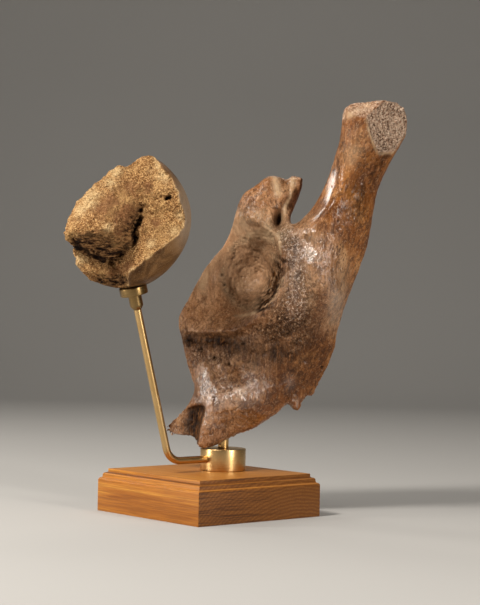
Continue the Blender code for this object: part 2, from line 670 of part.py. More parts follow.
def lip_share(across, up):
    """One along the crisp lower lip of the socket, falling to zero where the lip fades."""
    return (ease((LIP_END[1] - across) / (LIP_END[1] - LIP_END[0]))
            * ease((LIP_TOP[1] - up) / (LIP_TOP[1] - LIP_TOP[0])))


def socket_floor(across, up):
    """Depth of the socket's inside, with the fossa in it."""
    floor = thin_plate(SOCKET_FLOOR)(across, up)
    fossa_across = (across - FOSSA_CENTRE[0]) / FOSSA_RADII[0]
    fossa_up = (up - FOSSA_CENTRE[1]) / FOSSA_RADII[1]
    fossa = np.hypot(fossa_across, fossa_up)
    to_wall = fossa_across - fossa_up
    gentle = ease(0.5 - to_wall / (FOSSA_TURN * np.maximum(fossa, 0.1)))
    wall = FOSSA_WALL[0] + (FOSSA_WALL[1] - FOSSA_WALL[0]) * gentle
    sunk = FOSSA_DEPTH * (FOSSA_TILT[0] + FOSSA_TILT[1] * np.clip(to_wall, -1, 1))
    return floor + ease((1 - fossa) / wall + 0.5) * (sunk + lumps(across, up, FOSSA_LUMPS))


def plane_depth(plane, across, up):
    """Depth of a break's plane."""
    start_across, start_up, depth, slope_across, slope_up = plane
    return depth + slope_across * (across - start_across) + slope_up * (up - start_up)


def bone_faces(across, up, distance, edge_depth, reach):
    """Near and far face of the pelvis fragment."""
    near = thin_plate([row[:3] for row in BONE_FACES])(across, up)
    far = thin_plate([(row[0], row[1], row[3]) for row in BONE_FACES])(across, up)
    near = near + lumps(across, up, BONE_LUMPS)
    far = far + lumps(across, up, BACK_LUMPS)
    for height, width, path in BONE_STROKES:
        near = near - height * bell(distance_to_path(path, across, up), width)
    for height, width, path in BACK_STROKES:
        far = far + height * bell(distance_to_path(path, across, up), width)
    near = edge_depth + (near - edge_depth) * rounded(distance / reach)
    far = edge_depth + (far - edge_depth) * rounded(distance / reach)
    rough = lumps(across, up, BAR_BREAK_LUMPS)
    in_break = ease(depth_inside(BAR_BREAK_LOOP, across, up) / BREAK_BORDER + 0.5)
    broken = np.maximum(near, plane_depth(BAR_BREAK, across, up) + rough)
    near = near + (broken - near) * in_break
    near = np.maximum(near, plane_depth(BAR_FACET, across, up) + rough)

    to_rim = depth_inside(SOCKET_LOOP, across, up)
    low_rim = lip_share(across, up)
    blend = LIP_BLEND[1] + (LIP_BLEND[0] - LIP_BLEND[1]) * low_rim
    near = near + (socket_floor(across, up) - near) * ease(to_rim / blend + 0.5)
    near = near - LIP_HEIGHT * low_rim * bell(to_rim, LIP_WIDTH)
    undercut = bell(to_rim + UNDERCUT_OFFSET, UNDERCUT_WIDTH)
    inward = np.minimum(1, distance / UNDERCUT_MARGIN)
    near = near + UNDERCUT_DEPTH * undercut * low_rim * inward

    hollow = np.hypot((across - HOLLOW_CENTRE[0]) / HOLLOW_RADII[0],
                      (up - HOLLOW_CENTRE[1]) / HOLLOW_RADII[1])
    near = near + HOLLOW_DEPTH * bell(hollow, 1)

    in_break = depth_inside(ILIUM_BREAK_LOOP, across, up)
    broken = plane_depth(ILIUM_BREAK, across, up) + lumps(across, up, ILIUM_BREAK_LUMPS)
    broken = np.maximum(broken, near + BREAK_STEP)
    return near + (broken - near) * ease(in_break / BREAK_BORDER + 0.5), far


def build_bone(material):
    """Pelvis fragment with the hip socket, drilled from below for the post."""
    rough = relief_mesh("acetabulum_bone", BONE_OUTLINE, bone_faces, FACE_SPACING)
    hole = [(POST_RADIUS + GAP, HUB_TOP - GAP), (POST_RADIUS + GAP, POST_TOP + GAP)]
    rings = turned_rings(hole, Matrix.Translation((0, HUB_Y, 0)), DRILL_SIDES)
    drill = display_cutter("post_drill", rings)
    mesh = even_skin("acetabulum_bone", rough, BONE_TRIANGLES, [drill])
    mesh.transform(display_to_world())
    return add_object("acetabulum_bone", mesh, material, BROKEN_EDGE)


def ball_share(across, up):
    """Distance from the ball's centre, one on its oval."""
    side = across - BALL_CENTRE[0]
    rise = up - BALL_CENTRE[1]
    along = side * math.cos(BALL_LEAN) + rise * math.sin(BALL_LEAN)
    beside = rise * math.cos(BALL_LEAN) - side * math.sin(BALL_LEAN)
    return np.hypot(along / BALL_RADII[0], beside / BALL_RADII[1])


def ball_bulge(across, up):
    """Half thickness of the ball."""
    return BALL_RADII[1] * np.sqrt(np.maximum(1 - ball_share(across, up) ** 2, 0))


def ball_break_depth(across, up):
    """Depth of the broken face with its valley, crevice and holes."""
    edge = [(x, y, BALL_CENTRE[2] - float(ball_bulge(x, y))) for x, y in BALL_EDGE]
    depth = thin_plate(edge + BALL_BREAK)(across, up) + lumps(across, up, BALL_BREAK_LUMPS)
    depth = depth + RAVINE_DEPTH * bell(distance_to_path(RAVINE, across, up), RAVINE_WIDTH)
    depth = depth + CREVICE_DEPTH * bell(distance_to_path(CREVICE, across, up), CREVICE_WIDTH)
    for hole_across, hole_up, hole_depth, width in BALL_HOLES:
        spot = np.hypot(across - hole_across, up - hole_up)
        depth = depth + hole_depth * bell(spot, width)
    return depth


def ball_faces(across, up, distance, edge_depth, _reach):
    """Near and far face of the femoral ball."""
    missing = BALL_RADII[1] * (1 - ball_share(across, up)) - distance
    bulge = ball_bulge(across, up) * rounded(distance / np.clip(missing, *BALL_EDGE_ROUND))
    rest = edge_depth + (BALL_CENTRE[2] - edge_depth) * ease(distance / BALL_MIDDLE_REACH)
    near = rest - bulge
    ragged = lumps(across, up, BALL_BORDER_LUMPS)
    broken = ease(depth_inside(BREAK_LOOP, across + ragged, up) / BREAK_BORDER + 0.5)
    stump = ball_break_depth(across, up)
    stump = edge_depth + (stump - edge_depth) * rounded(distance / STUMP_ROUND)
    near = near + (np.maximum(stump, near - STUMP_RISE) - near) * broken
    return near, rest + bulge


def build_ball(material):
    """Femoral ball with a flat seat cut for the cup."""
    rough = relief_mesh("femoral_ball", BALL_OUTLINE, ball_faces, FACE_SPACING)
    seat = [(CUP_RADIUS + SEAT_MARGIN, 0.0), (CUP_RADIUS + SEAT_MARGIN, cup_height() + GAP)]
    seat_cutter = display_cutter("seat_cutter", turned_rings(seat, cup_place(), SEAT_SIDES))
    mesh = even_skin("femoral_ball", rough, BALL_TRIANGLES, [seat_cutter])
    mesh.transform(display_to_world())
    return add_object("femoral_ball", mesh, material, BROKEN_EDGE)


def main():
    """Build every piece."""
    clear_scene()
    oak = make_material("honey_oak", OAK)
    brass = make_material("satin_brass", BRASS)
    brown_bone = make_material("brown_fossil_bone", BROWN_BONE)
    ochre_bone = make_material("ochre_fossil_bone", OCHRE_BONE)
    build_base(oak)
    build_hub(brass)
    build_post(brass)
    build_arm(brass)
    build_cup(brass)
    build_bone(brown_bone)
    build_ball(ochre_bone)
    bpy.context.view_layer.update()


main()
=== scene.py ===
# %% [markdown]
# # A fossil hip socket and its ball on a brass and oak stand
#
# The object is a museum display. A piece of mammoth pelvis with the hip socket stands on a short
# brass post, and the broken ball of a thigh bone rests on a brass cup at the end of a bent arm.
# Everything is fixed to one moulded oak base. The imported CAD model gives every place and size.
# This lesson rebuilds each piece finely, gives it a procedural finish and lights the set.

import math

import bmesh
import bpy
import numpy as np
from mathutils import Matrix, Vector
from mathutils.kdtree import KDTree


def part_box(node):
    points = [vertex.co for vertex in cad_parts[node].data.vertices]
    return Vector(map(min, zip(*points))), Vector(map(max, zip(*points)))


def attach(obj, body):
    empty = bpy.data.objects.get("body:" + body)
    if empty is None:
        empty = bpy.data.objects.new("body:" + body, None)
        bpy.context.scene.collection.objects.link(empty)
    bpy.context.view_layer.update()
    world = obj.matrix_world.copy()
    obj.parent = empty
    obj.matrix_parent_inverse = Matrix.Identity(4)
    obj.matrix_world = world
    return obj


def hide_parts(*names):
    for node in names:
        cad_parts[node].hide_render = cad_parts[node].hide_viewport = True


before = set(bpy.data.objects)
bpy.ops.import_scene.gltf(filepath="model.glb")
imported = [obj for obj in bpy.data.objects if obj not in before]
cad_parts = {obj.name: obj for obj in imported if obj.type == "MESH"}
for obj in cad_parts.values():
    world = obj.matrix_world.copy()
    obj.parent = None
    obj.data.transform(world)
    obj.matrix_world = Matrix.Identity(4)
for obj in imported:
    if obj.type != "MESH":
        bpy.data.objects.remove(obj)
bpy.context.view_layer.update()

# %% [markdown]
# ## The camera
#
# The base is a true square, so its corners in the picture fix one camera: a long lens about two
# metres away, level with the middle of the object, looking at the corner between two sides.
# A long lens keeps the base's far edges almost parallel to the near ones.

# %% Camera
IMAGE_WIDTH = 480
LENS_IN_PIXELS = 1714.4
CAMERA_PLACE = Vector((1.5731, -1.3390, 0.2471))
CAMERA_HEADING = math.radians(48.67)         # turned left from looking along +Y
CAMERA_PITCH = math.radians(0.24)            # upwards
CAMERA_ROLL = math.radians(1.14)             # the object leans right by this much
CENTRE_SHIFT = -1.0 / IMAGE_WIDTH


def camera_axes():
    """Right, up and forward vectors of the camera."""
    right = Vector((math.cos(CAMERA_HEADING), math.sin(CAMERA_HEADING), 0))
    forward = Vector((-math.sin(CAMERA_HEADING) * math.cos(CAMERA_PITCH),
                      math.cos(CAMERA_HEADING) * math.cos(CAMERA_PITCH), math.sin(CAMERA_PITCH)))
    up = right.cross(forward)
    rolled_right = right * math.cos(CAMERA_ROLL) + up * math.sin(CAMERA_ROLL)
    rolled_up = up * math.cos(CAMERA_ROLL) - right * math.sin(CAMERA_ROLL)
    return rolled_right, rolled_up, forward


def link(item):
    """Put an object into the scene."""
    bpy.context.scene.collection.objects.link(item)
    return item


right, up, forward = camera_axes()
camera_data = bpy.data.cameras.new("Camera")
camera_data.sensor_width = 36.0
camera_data.sensor_fit = "HORIZONTAL"
camera_data.lens = LENS_IN_PIXELS / IMAGE_WIDTH * camera_data.sensor_width
camera_data.shift_y = CENTRE_SHIFT
camera = link(bpy.data.objects.new("Camera", camera_data))
camera.matrix_world = Matrix.Translation(CAMERA_PLACE) @ Matrix(
    (right, up, -forward)).transposed().to_4x4()
bpy.context.scene.camera = camera
print("camera", round(camera_data.lens, 1), "mm lens")

# %% [markdown]
# ## A short way to write nodes
#
# Every finish here is a small node network on Object coordinates, so that it has the same scale
# all over and nothing slides when the view changes. A recipe adds nodes in reading order:
# textures first, then ramps that turn them into colours, then a bump for the fine relief.
# The same helper adds the nodes of Geometry Nodes trees further down.


# %% Nodes and material recipe
def fill(node, **inputs):
    """Link or set a node's inputs, given by name with underscores, or as _0, _1 by place."""
    for label, value in inputs.items():
        wanted = label.lower()
        socket = node.inputs[int(label[1:])] if label[1:].isdigit() else next(
            s for s in node.inputs if s.enabled and s.name.lower().replace(" ", "_") == wanted)
        if isinstance(value, bpy.types.NodeSocket):
            node.id_data.links.new(value, socket)
        elif socket.type == "RGBA":
            socket.default_value = (*value, 1.0)
        else:
            socket.default_value = value


def add_node(tree, kind, settings=None, **inputs):
    """Add a node, set its options and fill its inputs."""
    node = tree.nodes.new(kind)
    for label, value in (settings or {}).items():
        setattr(node, label, value)
    fill(node, **inputs)
    return node


class Recipe:
    """One material and short calls that add its nodes."""

    def __init__(self, name, **sockets):
        self.material = bpy.data.materials.new(name)
        self.material.use_nodes = True
        self.tree = self.material.node_tree
        self.place = self.add("TexCoord", "Object")
        self.finish(**sockets)

    def add(self, kind, output, settings=None, **inputs):
        """Add a shader node and hand back one of its outputs."""
        return add_node(self.tree, "ShaderNode" + kind, settings, **inputs).outputs[output]

    def stretched(self, scale, turn=(0, 0, 0), shift=(0, 0, 0)):
        """Object coordinates moved, turned and stretched."""
        return self.add("Mapping", "Vector", vector=self.place, scale=scale, rotation=turn,
                        location=shift)

    def noise(self, scale, detail=4.0, roughness=0.55, distortion=0.0, vector=None):
        """Cloudy noise from 0 to 1."""
        return self.add("TexNoise", "Fac", vector=vector or self.place, scale=scale,
                        detail=detail, roughness=roughness, distortion=distortion)

    def cells(self, scale, vector=None):
        """Distance to the nearest of scattered points."""
        return self.add("TexVoronoi", "Distance", vector=vector or self.place, scale=scale)

    def rings(self, scale, vector, distortion, detail, detail_scale):
        """Fine rings round the X axis, as growth rings."""
        return self.add("TexWave", "Fac", {"wave_type": "RINGS", "rings_direction": "X",
                                           "wave_profile": "SAW"},
                        vector=vector, scale=scale, distortion=distortion, detail=detail,
                        detail_scale=detail_scale)

    def attribute(self, name):
        """A value that the mesh carries."""
        return self.add("Attribute", "Fac", {"attribute_name": name})

    def window(self, value, low, high, start=0.0, end=1.0):
        """Map low..high to start..end and clamp."""
        return self.add("MapRange", "Result", value=value, from_min=low, from_max=high,
                        to_min=start, to_max=end)

    def ramp(self, value, *stops):
        """Colour ramp from (place, colour) pairs."""
        node = add_node(self.tree, "ShaderNodeValToRGB", fac=value)
        elements = node.color_ramp.elements
        while len(elements) < len(stops):
            elements.new(0.5)
        for element, (place, colour) in zip(elements, stops):
            element.position = place
            element.color = (*colour, 1)
        return node.outputs["Color"]

    def mix(self, share, first, second):
        """Blend two colours."""
        return self.add("Mix", 2, {"data_type": "RGBA"}, _0=share, _6=first, _7=second)

    def coats(self, colour, *layers):
        """Lay (share, colour) layers over a colour, one after the other."""
        for share, layer in layers:
            colour = self.mix(share, colour, layer)
        return colour

    def math(self, operation, first, second=0.0):
        """One arithmetic step, clamped to 0..1."""
        return self.add("Math", 0, {"operation": operation, "use_clamp": True},
                        _0=first, _1=second)

    def times(self, first, second):
        """Product of two shares."""
        return self.math("MULTIPLY", first, second)

    def bump(self, height, distance, strength=1.0, normal=None):
        """Fine relief in metres, laid over another relief if one is given."""
        below = {} if normal is None else {"normal": normal}
        return self.add("Bump", "Normal", height=height, strength=strength, distance=distance,
                        **below)

    def finish(self, **sockets):
        """Fill the shader's sockets, which are named in lower case with underscores."""
        fill(self.tree.nodes["Principled BSDF"], **sockets)
        return self.material


# %% [markdown]
# ## Floor, backdrop and lights
#
# A pale sheet runs along the floor and curves up behind the object, as in a product studio.
# A large soft light stands high on the left and in front, because the fossils are brightest on
# the faces that look up and left. Narrow strips on both sides draw the bright lines on the brass
# and on the bar, and light the ball's right edge, whose paleness is partly a painted reflection.
# One light is for the paper behind, and the dim world only opens the shadows.

# %% Stage
SWEEP_WIDTH = 9.0
SWEEP_FRONT = -3.0
SWEEP_BACK = 2.4
SWEEP_BEND = 1.2
SWEEP_HEIGHT = 4.0
SWEEP_STEPS = 12
PAPER_TONE = (0.43, 0.42, 0.405)
TO_VIEW = Matrix.Rotation(CAMERA_HEADING, 4, "Z")   # turns X to the camera's right


def quarter_arc(steps):
    """Sine and one minus cosine at even steps through a right angle."""
    angles = [0.5 * math.pi * k / steps for k in range(1, steps + 1)]
    return [(math.sin(angle), 1 - math.cos(angle)) for angle in angles]


def paper_material():
    """Matte paper with a faint mottle."""
    r = Recipe("pale_and_painted_light_paper", roughness=0.95)
    return r.finish(base_color=r.ramp(r.noise(3, 2, 0.5), (0, [0.97 * c for c in PAPER_TONE]),
                                      (1, PAPER_TONE)))


def build_sweep():
    """Paper sweep: level, then a quarter bend, then upright."""
    profile = [(SWEEP_FRONT, 0.0), (SWEEP_BACK, 0.0)]
    profile += [(SWEEP_BACK + SWEEP_BEND * run, SWEEP_BEND * rise)
                for run, rise in quarter_arc(SWEEP_STEPS)]
    profile.append((SWEEP_BACK + SWEEP_BEND, SWEEP_HEIGHT))
    points = [TO_VIEW @ Vector((side * SWEEP_WIDTH / 2, deep, high))
              for deep, high in profile for side in (-1, 1)]
    mesh = bpy.data.meshes.new("paper_sweep")
    mesh.from_pydata(points, [], [(k, k + 1, k + 3, k + 2) for k in range(0, len(points) - 2, 2)])
    mesh.shade_smooth()
    mesh.materials.append(paper_material())
    return link(bpy.data.objects.new("paper_sweep", mesh))


build_sweep()

# %% Lights
VIEW_TARGET = Vector((0.0, 0.0, 0.26))
WARM = (1.0, 0.95, 0.88)
# Name, then across, deep and up in the camera's own directions, width, height and power.
LIGHTS = [
    ("key_top_left", -1.00, -1.05, 1.62, 0.4, 0.4, 46),
    ("strip_left", -1.70, -0.45, 0.60, 0.16, 1.15, 21),
    ("rim_left", -1.42, 1.00, 1.05, 0.32, 0.9, 8),
    ("strip_right", 1.25, -1.25, 0.55, 0.14, 1.0, 19),
    ("paper", 0.3, 1.6, 2.4, 1.6, 1.0, 14),
]

for name, across, deep, high, width, height, power in LIGHTS:
    data = bpy.data.lights.new(name, "AREA")
    data.shape = "RECTANGLE"
    data.size, data.size_y = width, height
    data.energy = power
    data.color = WARM
    place = TO_VIEW @ Vector((across, deep, high))
    aim = (VIEW_TARGET - place).to_track_quat("-Z", "Y")
    lamp = link(bpy.data.objects.new(name, data))
    lamp.matrix_world = Matrix.Translation(place) @ aim.to_matrix().to_4x4()

world = bpy.data.worlds.new("Studio")
world.use_nodes = True
fill(world.node_tree.nodes["Background"], color=(1.0, 0.97, 0.93), strength=0.05)
bpy.context.scene.world = world
bpy.context.scene.view_settings.view_transform = "Standard"
print("lights", [row[0] for row in LIGHTS])

# %% [markdown]
# ## Turned pieces with Geometry Nodes
#
# Hub, post and cup come off a lathe: one outline, spun round an axis. The tree below makes a
# grid with one column for each step round the axis and one row for each point of the outline,
# and bends it shut. With only four steps the same tree gives a square block whose mouldings meet
# in true mitres, so it makes the oak base as well.


# %% Geometry Nodes helpers
def new_tree(name, **inputs):
    """Empty Geometry Nodes tree with named inputs."""
    tree = bpy.data.node_groups.new(name, "GeometryNodeTree")
    tree.interface.new_socket("Geometry", in_out="INPUT", socket_type="NodeSocketGeometry")
    tree.interface.new_socket("Geometry", in_out="OUTPUT", socket_type="NodeSocketGeometry")
    for label, kind in inputs.items():
        tree.interface.new_socket(label, in_out="INPUT", socket_type="NodeSocket" + kind)
    return tree, tree.nodes.new("NodeGroupInput").outputs


def close_tree(tree, geometry, material):
    """End a tree with Realize Instances and Set Material."""
    real = add_node(tree, "GeometryNodeRealizeInstances", geometry=geometry)
    painted = add_node(tree, "GeometryNodeSetMaterial", geometry=real.outputs[0],
                       material=material)
    tree.links.new(painted.outputs[0], tree.nodes.new("NodeGroupOutput").inputs[0])
    return tree


def keep_result(item):
    """Keep the plain mesh that an object's modifiers make."""
    graph = bpy.context.evaluated_depsgraph_get()
    item.data = bpy.data.meshes.new_from_object(item.evaluated_get(graph))
    item.modifiers.clear()
    return item


def run_tree(name, points, tree, **values):
    """Run a tree on a chain of edges through points and keep what it makes."""
    mesh = bpy.data.meshes.new("outline")
    mesh.from_pydata(points, [(i, i + 1) for i in range(len(points) - 1)], [])
    item = link(bpy.data.objects.new(name, mesh))
    modifier = item.modifiers.new("Tree", "NODES")
    modifier.node_group = tree
    for socket in tree.interface.items_tree:
        if socket.in_out == "INPUT" and socket.name in values:
            modifier[socket.identifier] = values[socket.name]
    keep_result(item).data.name = name
    return item


def shade(mesh, sharp_degrees):
    """Smooth shading with sharp edges past an angle."""
    mesh.shade_smooth()
    mesh.set_sharp_from_angle(angle=math.radians(sharp_degrees))


def tidy_mesh(item, sharp_degrees):
    """Merge doubles, point the faces outwards and set the shading."""
    shape = bmesh.new()
    shape.from_mesh(item.data)
    bmesh.ops.remove_doubles(shape, verts=shape.verts, dist=1e-6)
    bmesh.ops.recalc_face_normals(shape, faces=shape.faces)
    shape.to_mesh(item.data)
    shape.free()
    shade(item.data, sharp_degrees)
    return item


# %% The turning tree
def turning_tree():
    """Spin the outline (radius along X, height along Z) round the Z axis."""
    tree, enter = new_tree("Turning", Steps="Int", First_Angle="Float", Finish="Material")

    def math_step(operation, first, second=0.0):
        return add_node(tree, "ShaderNodeMath", {"operation": operation},
                        _0=first, _1=second).outputs[0]

    size = add_node(tree, "GeometryNodeAttributeDomainSize", geometry=enter["Geometry"])
    rows = size.outputs["Point Count"]
    grid = add_node(tree, "GeometryNodeMeshGrid", size_x=1.0, size_y=1.0,
                    vertices_x=math_step("ADD", enter["Steps"], 1.0), vertices_y=rows)
    spot = tree.nodes.new("GeometryNodeInputPosition").outputs[0]
    parts = add_node(tree, "ShaderNodeSeparateXYZ", vector=spot).outputs
    row = math_step("ROUND", math_step("MULTIPLY", math_step("ADD", parts["Y"], 0.5),
                                       math_step("SUBTRACT", rows, 1.0)))
    sample = add_node(tree, "GeometryNodeSampleIndex", {"data_type": "FLOAT_VECTOR"},
                      geometry=enter["Geometry"], value=spot, index=row)
    taken = add_node(tree, "ShaderNodeSeparateXYZ", vector=sample.outputs[0]).outputs
    angle = math_step("MULTIPLY", math_step("ADD", parts["X"], 0.5), 2 * math.pi)
    angle = math_step("ADD", angle, enter["First_Angle"])
    bent = add_node(tree, "ShaderNodeCombineXYZ", z=taken["Z"],
                    x=math_step("MULTIPLY", taken["X"], math_step("COSINE", angle)),
                    y=math_step("MULTIPLY", taken["X"], math_step("SINE", angle)))
    placed = add_node(tree, "GeometryNodeSetPosition", geometry=grid.outputs["Mesh"],
                      position=bent.outputs[0])
    return close_tree(tree, placed.outputs[0], enter["Finish"])


TURNING = turning_tree()


# %% Turned pieces
def rounded_outline(points, radius, steps=4):
    """Replace an outline's inner corners by small arcs of about the given radius."""
    path = [Vector((x, 0, z)) for x, z in points]
    result = [path[0]]
    for before, corner, after in zip(path, path[1:], path[2:]):
        back, ahead = before - corner, after - corner
        reach = min(radius, back.length * 0.45, ahead.length * 0.45)
        first = corner + back.normalized() * reach
        last = corner + ahead.normalized() * reach
        for k in range(steps + 1):
            t = k / steps
            result.append(first * (1 - t) ** 2 + corner * 2 * t * (1 - t) + last * t * t)
    result.append(path[-1])
    return result


def turned_piece(name, outline, steps, material, place, first_angle=0.0):
    """Turn an outline and set it down with a matrix."""
    item = run_tree(name, outline, TURNING, Steps=steps, First_Angle=first_angle,
                    Finish=material)
    item.data.transform(place)
    return tidy_mesh(item, 35)


def ride(item, node):
    """Let a finished piece stand for its CAD node."""
    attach(item, "root")
    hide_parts(node)
    low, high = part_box(node)
    print(item.name, len(item.data.polygons), "faces for", node,
          [round((b - a) * 1000, 1) for a, b in zip(low, high)], "mm")


# %% [markdown]
# ## Oak
#
# The base is one solid block of honey oak. Growth rings run round a centre line somewhere below
# the block, along X. The same rings therefore show as long grain on the two long sides and on the
# top, and as curved lines on the two end faces. End grain drinks more stain, so it is darker, and
# the saw leaves slanting scratches on it. One set of rings in three dimensions gives all of this
# without any seam at the corners.


# %% Oak material
def oak_material():
    """Honey oak with long grain, end grain, pores, saw marks and painted shade under the panel."""
    r = Recipe("honey_oak", specular_ior_level=0.2)
    warp = r.noise(9, 3, 0.5, 0.4, r.stretched((0.25, 1, 1)))
    rings = r.rings(75, r.stretched((0.03, 1, 1), shift=(0, -0.06, 0.15)), 3, 3, 1.1)
    streaks = r.noise(90, 5, 0.66, 0.6, r.stretched((0.05, 1, 1.4)))
    fibres = r.noise(620, 4, 0.65, 0, r.stretched((0.03, 1, 1)))
    pores = r.window(r.cells(620, r.stretched((0.05, 1, 1))), 0.05, 0.3)
    facing = add_node(r.tree, "ShaderNodeSeparateXYZ",
                      vector=r.add("NewGeometry", "Normal")).outputs
    where = add_node(r.tree, "ShaderNodeSeparateXYZ", vector=r.place).outputs
    end_grain = r.window(r.math("ABSOLUTE", facing["X"]), 0.55, 0.8)
    side = r.window(r.math("ABSOLUTE", facing["Y"]), 0.4, 0.8)

    long_grain = r.ramp(streaks, (0.30, (0.22, 0.066, 0.008)), (0.47, (0.39, 0.140, 0.019)),
                        (0.68, (0.58, 0.26, 0.040)))
    top_tone = r.mix(r.times(warp, 0.5), (0.42, 0.18, 0.042), (0.34, 0.13, 0.028))
    long_grain = r.coats(long_grain,
                         (r.times(rings, 0.2), (0.25, 0.08, 0.014)),
                         (r.window(fibres, 0.40, 0.56, 0.55, 0), (0.20, 0.068, 0.014)),
                         (r.math("SUBTRACT", 0.55, side), top_tone))

    saw, cross = [r.noise(240, 2, 0.6, 0.2, r.stretched((0.1, 0.07, 2.2), (lean, 0, 0)))
                  for lean in (0.72, -0.62)]
    scratches = r.times(r.window(where["Y"], 0.04, -0.01, 0.15, 1),
                        r.window(r.math("MAXIMUM", saw, cross), 0.53, 0.66))
    end = r.ramp(rings, (0.1, (0.165, 0.055, 0.011)), (0.6, (0.255, 0.098, 0.022)),
                 (0.95, (0.20, 0.070, 0.014)))
    end = r.coats(end, (r.window(fibres, 0.42, 0.56, 0.4, 0), (0.11, 0.040, 0.010)),
                  (r.times(scratches, 0.75), (0.065, 0.022, 0.007)))
    # Painted shade: a dark line in the narrow gap under the raised panel.
    painted_gap_shade = r.times(r.window(where["Z"], 0.0455, 0.0461),
                          r.window(where["Z"], 0.0476, 0.0471))
    colour = r.coats(long_grain, (end_grain, end),
                     (r.times(painted_gap_shade, 0.7), (0.07, 0.017, 0.006)),
                     (r.window(pores, 0, 1, 0.25, 0), (0.12, 0.04, 0.01)))
    relief = r.math("ADD", r.times(fibres, 0.6), r.times(pores, 0.3))
    relief = r.math("SUBTRACT", relief, r.times(scratches, r.times(end_grain, 0.5)))
    return r.finish(base_color=colour, roughness=r.window(fibres, 0.3, 0.7, 0.34, 0.5),
                    normal=r.bump(relief, 0.0003))


# %% [markdown]
# ### The moulded base
#
# From below: a plain block, a hollow cove, a small step, a round bead, and a raised panel with a
# narrow gap under it, darkened with painted shade. The profile is drawn once from the base's
# centre to its edge, given the square's half diagonal as radius, and turned in four steps. A bevel
# takes the sharpness off every arris, as sandpaper does.

# %% Base
base_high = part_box("wood_base")[1]
BASE_HALF = base_high.x
BASE_TOP = base_high.z
COVE_INSET = 0.0035
COVE_FOOT = 0.0372
COVE_TOP = 0.0404
BEAD_INSET = 0.0040
BEAD_FOOT = 0.0437
BEAD_TOP = 0.0463
BEAD_TOP_INSET = 0.0069
PANEL_INSET = 0.0086
PANEL_FOOT = 0.0470
MOULDING_STEPS = 8
SANDED_EDGE = 0.0005


def base_profile():
    """Inset and height along the moulding, from the underside to the top."""
    profile = [(BASE_HALF, 0.0), (0.0, 0.0), (0.0, COVE_FOOT)]
    profile += [(COVE_INSET * run, COVE_FOOT + (COVE_TOP - COVE_FOOT) * rise)
                for rise, run in quarter_arc(MOULDING_STEPS)]
    profile.append((BEAD_INSET, BEAD_FOOT))
    profile += [(BEAD_INSET + (BEAD_TOP_INSET - BEAD_INSET) * run,
                 BEAD_FOOT + (BEAD_TOP - BEAD_FOOT) * rise)
                for rise, run in quarter_arc(MOULDING_STEPS)]
    return profile + [(PANEL_INSET, PANEL_FOOT), (PANEL_INSET, BASE_TOP), (BASE_HALF, BASE_TOP)]


outline = [Vector(((BASE_HALF - inset) * math.sqrt(2), 0, high)) for inset, high in base_profile()]
base = turned_piece("oak_base", outline, 4, oak_material(), Matrix.Identity(4), math.pi / 4)
soften = base.modifiers.new("Soften", "BEVEL")
soften.width = SANDED_EDGE
soften.segments = 3
soften.limit_method = "ANGLE"
soften.angle_limit = math.radians(38)
shade(keep_result(base).data, 30)
ride(base, "wood_base")

# %% [markdown]
# ## Brass
#
# Hub, post, arm and cup are plain brass with a fine satin finish. On a lathe the finish leaves
# hair-thin rings, so the light stretches into upright bands on the hub. The tone changes a
# little with handling. The rings are a noise squeezed along the axis of each piece. The cup's
# brass is much darker: painted shade for the ball's shadow on it.

# %% Brass material
HUB_PLACE = Vector((0.0, 0.022, 0.0))
ARM_LEAN = math.radians(16.1)


def brass_material(name, stretch, lean=0.0, tone=1.0):
    """Satin brass with fine marks across the stretched direction."""
    r = Recipe(name, metallic=1.0)
    marks = r.noise(1400, 3, 0.6, 0, r.stretched(stretch, (lean, 0, 0)))
    dull, clean = [tuple(tone * part for part in colour)
                   for colour in ((0.52, 0.33, 0.13), (0.63, 0.43, 0.20))]
    colour = r.ramp(r.noise(34, 3, 0.5), (0.3, dull), (0.7, clean))
    colour = r.mix(r.window(marks, 0.35, 0.65, 0, 0.15), colour, (0.42, 0.25, 0.08))
    return r.finish(base_color=colour, roughness=r.window(marks, 0.3, 0.7, 0.26, 0.36),
                    normal=r.bump(marks, 0.00001, 0.6))


TURNED_BRASS = brass_material("turned_brass", (0.02, 0.02, 1.0), tone=1.2)
# The cup's tone is far below the hub's: painted shade for the shadow that the ball casts on it.
CUP_BRASS_IN_PAINTED_SHADE = brass_material("cup_brass", (0.02, 0.02, 1.0), -ARM_LEAN, 0.38)
DRAWN_BRASS = brass_material("drawn_brass", (1.0, 0.05, 0.05))

# %% Hub and post
for name, node, steps, corner in (("turned_hub", "brass_hub", 128, 0.0009),
                                  ("turned_post", "brass_post", 64, 0.0006)):
    low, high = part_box(node)
    radius = (high.x - low.x) / 2
    outline = rounded_outline([(0, low.z), (radius, low.z), (radius, high.z), (0, high.z)], corner)
    ride(turned_piece(name, outline, steps, TURNED_BRASS, Matrix.Translation(HUB_PLACE)),
         node)

# %% [markdown]
# ### The bent arm and the cup
#
# The arm is one rod: level out of the hub, a single bend, then straight up and slightly outwards.
# Its path needs only three points. Fillet Curve rounds the corner to the bending radius, and
# Curve to Mesh sweeps the rod's round section along it, so a change of size stays one number.

# %% Arm
ARM_RADIUS = 0.0044
ARM_HEIGHT = 0.0654
ARM_CORNER_Y = -0.0622
ARM_BEND_RADIUS = 0.022
ARM_UPPER_RUN = 0.1857
GAP = 0.0003                     # between the fitted pieces
ARM_CORNER = Vector((0, ARM_CORNER_Y, ARM_HEIGHT))
ARM_END = ARM_CORNER + Vector((0, -math.sin(ARM_LEAN), math.cos(ARM_LEAN))) * ARM_UPPER_RUN


